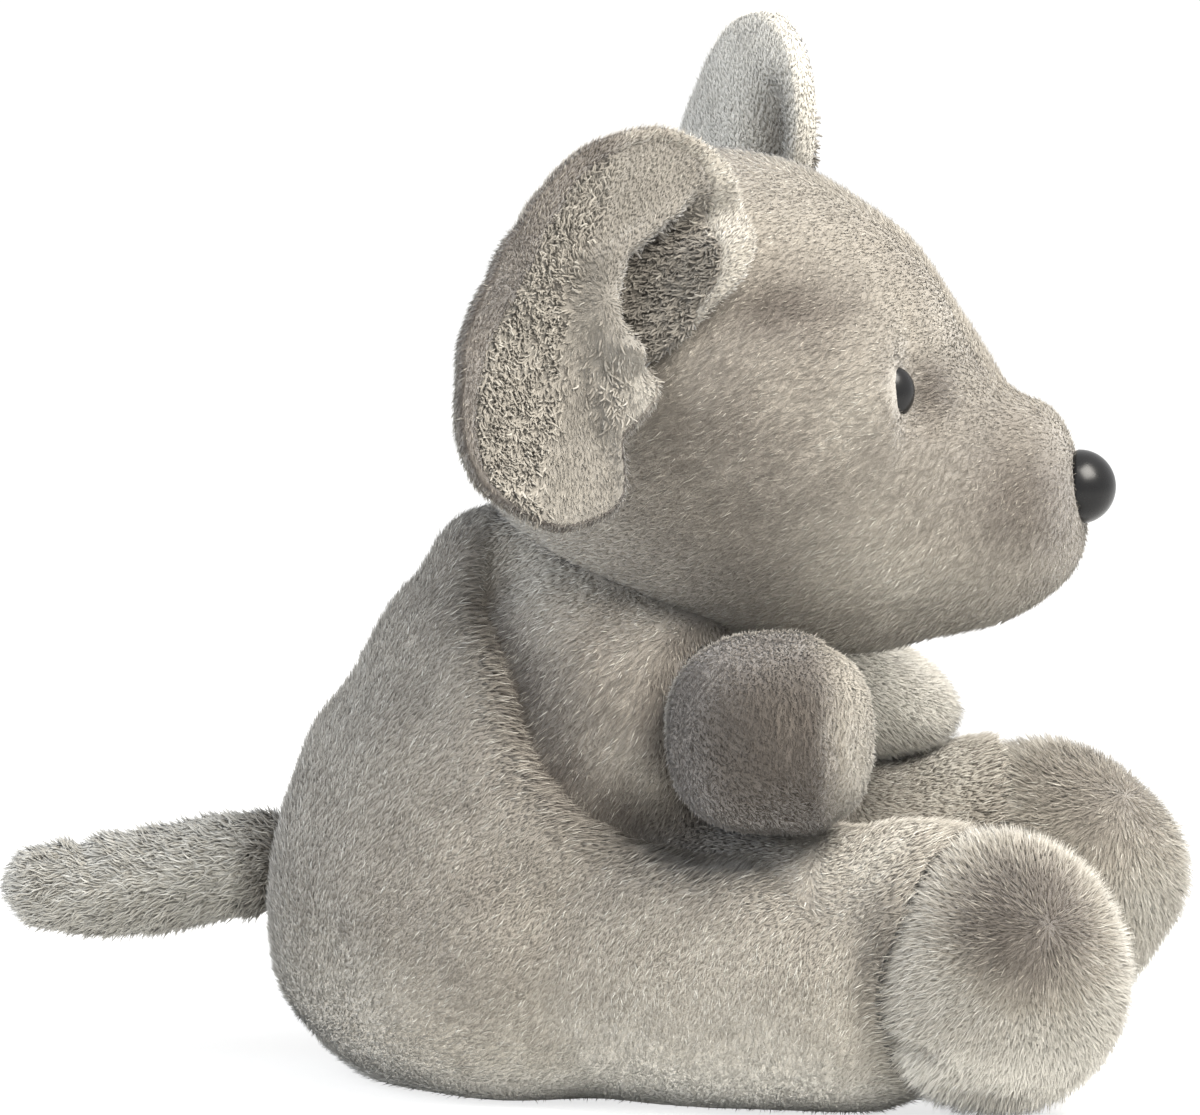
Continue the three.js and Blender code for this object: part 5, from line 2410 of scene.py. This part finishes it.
@dataclass
class Studio:
    """The floor, the light and the camera."""

    distance: float = 2500
    azimuth: float = 6
    elevation: float = 8
    view_width: float = 139.2
    aim: tuple[float, float, float] = (1.2, 0, 59.7)

    def build(self) -> None:
        """Builds all of it."""
        self._camera()
        self._world()
        self._floor()
        self._lamp("key", (260, -170, 430), 300, 5.6, "fffaf2")
        self._lamp("fill", (-420, -300, 320), 500, 2.4, "e9f2ff")

    def _camera(self) -> None:
        """Sets the camera at the photograph's angle."""
        data = bpy.data.cameras.new("camera")
        data.sensor_width = 36
        data.lens = 36 * self.distance / self.view_width
        data.clip_start, data.clip_end = 0.01, 20
        made = bpy.data.objects.new("camera", data)
        turn, lift = math.radians(self.azimuth), math.radians(self.elevation)
        back = Vector((math.sin(turn) * math.cos(lift), -math.cos(turn) * math.cos(lift), math.sin(lift)))
        made.location = (Vector(self.aim) + self.distance * back) * MM
        made.rotation_euler = back.to_track_quat("Z", "Y").to_euler()
        bpy.context.scene.collection.objects.link(made)
        bpy.context.scene.camera = made

    def _world(self) -> None:
        """Lights evenly, and shows white to the camera and in reflections."""
        world = bpy.data.worlds.new("studio")
        world.use_nodes = True
        tree = world.node_tree
        tree.nodes.clear()
        strength = put(tree, "ShaderNodeMapRange", {"Value": seen_rays(tree), "To Min": 0.75, "To Max": 1.0})
        sky = put(tree, "ShaderNodeBackground", {"Color": linear("ffffff"), "Strength": strength.outputs[0]})
        put(tree, "ShaderNodeOutputWorld", {"Surface": sky.outputs[0]})
        bpy.context.scene.world = world

    def _floor(self) -> None:
        """Lays a white floor that keeps a soft shadow."""
        reach = 3000.0
        corners = reach * np.array([[-1, -1, 0], [1, -1, 0], [1, 1, 0], [-1, 1, 0]])
        floor = Surface(corners, [(0, 1, 2, 3)]).to_object("floor")
        material = blank_material("white_paper_sweep")
        tree = material.node_tree
        paper = put(tree, "ShaderNodeBsdfDiffuse", {"Color": linear("f2f2f0")})
        glow = put(tree, "ShaderNodeEmission", {"Color": linear("ffffff"), "Strength": 1.25})
        share = put(tree, "ShaderNodeMath", {0: seen_rays(tree), 1: 0.6}, operation="MULTIPLY").outputs[0]
        mixed = put(tree, "ShaderNodeMixShader", {0: share, 1: paper.outputs[0], 2: glow.outputs[0]})
        put(tree, "ShaderNodeOutputMaterial", {"Surface": mixed.outputs[0]})
        floor.data.materials.append(material)

    def _lamp(self, name: str, place: tuple, size: float, power: float, colour: str) -> None:
        """Adds a soft square lamp that points at the mouse.

        Args:
            name: its name.
            place: where it stands.
            size: its width.
            power: its watts.
            colour: its colour.
        """
        data = bpy.data.lights.new(name, "AREA")
        data.size = size * MM
        data.energy = power
        data.color = linear(colour)[:3]
        made = bpy.data.objects.new(name, data)
        made.location = Vector(place) * MM
        aim = Vector((0, 0, 50)) * MM - made.location
        made.rotation_euler = aim.to_track_quat("-Z", "Y").to_euler()
        bpy.context.scene.collection.objects.link(made)


def main() -> None:
    """Builds the studio and the mouse."""
    logging.basicConfig(level=logging.INFO, format="%(message)s")
    bpy.context.scene.view_settings.view_transform = "Standard"
    Studio().build()
    sizes = TorsoSizes()
    strands = StrandTree()
    torso = Torso(sizes)
    head = Head(HeadSizes(), sizes)
    pieces: list[SoftPiece] = [torso, head, Tail(sizes, TailSizes())]
    for side in Side:
        pieces += [Arm(side, sizes, ArmSizes()), Foot(side, sizes, FootSizes())]
    for place in EAR_PLACES:
        pieces += [EarBack(place, head), EarLining(place, head)]
    dress_small_parts(head)
    for piece in pieces:
        piece.form()
        LOG.info("%s formed", piece.name)
    for piece in pieces:
        piece.dress(pieces, strands)


if __name__ == "__main__":
    main()
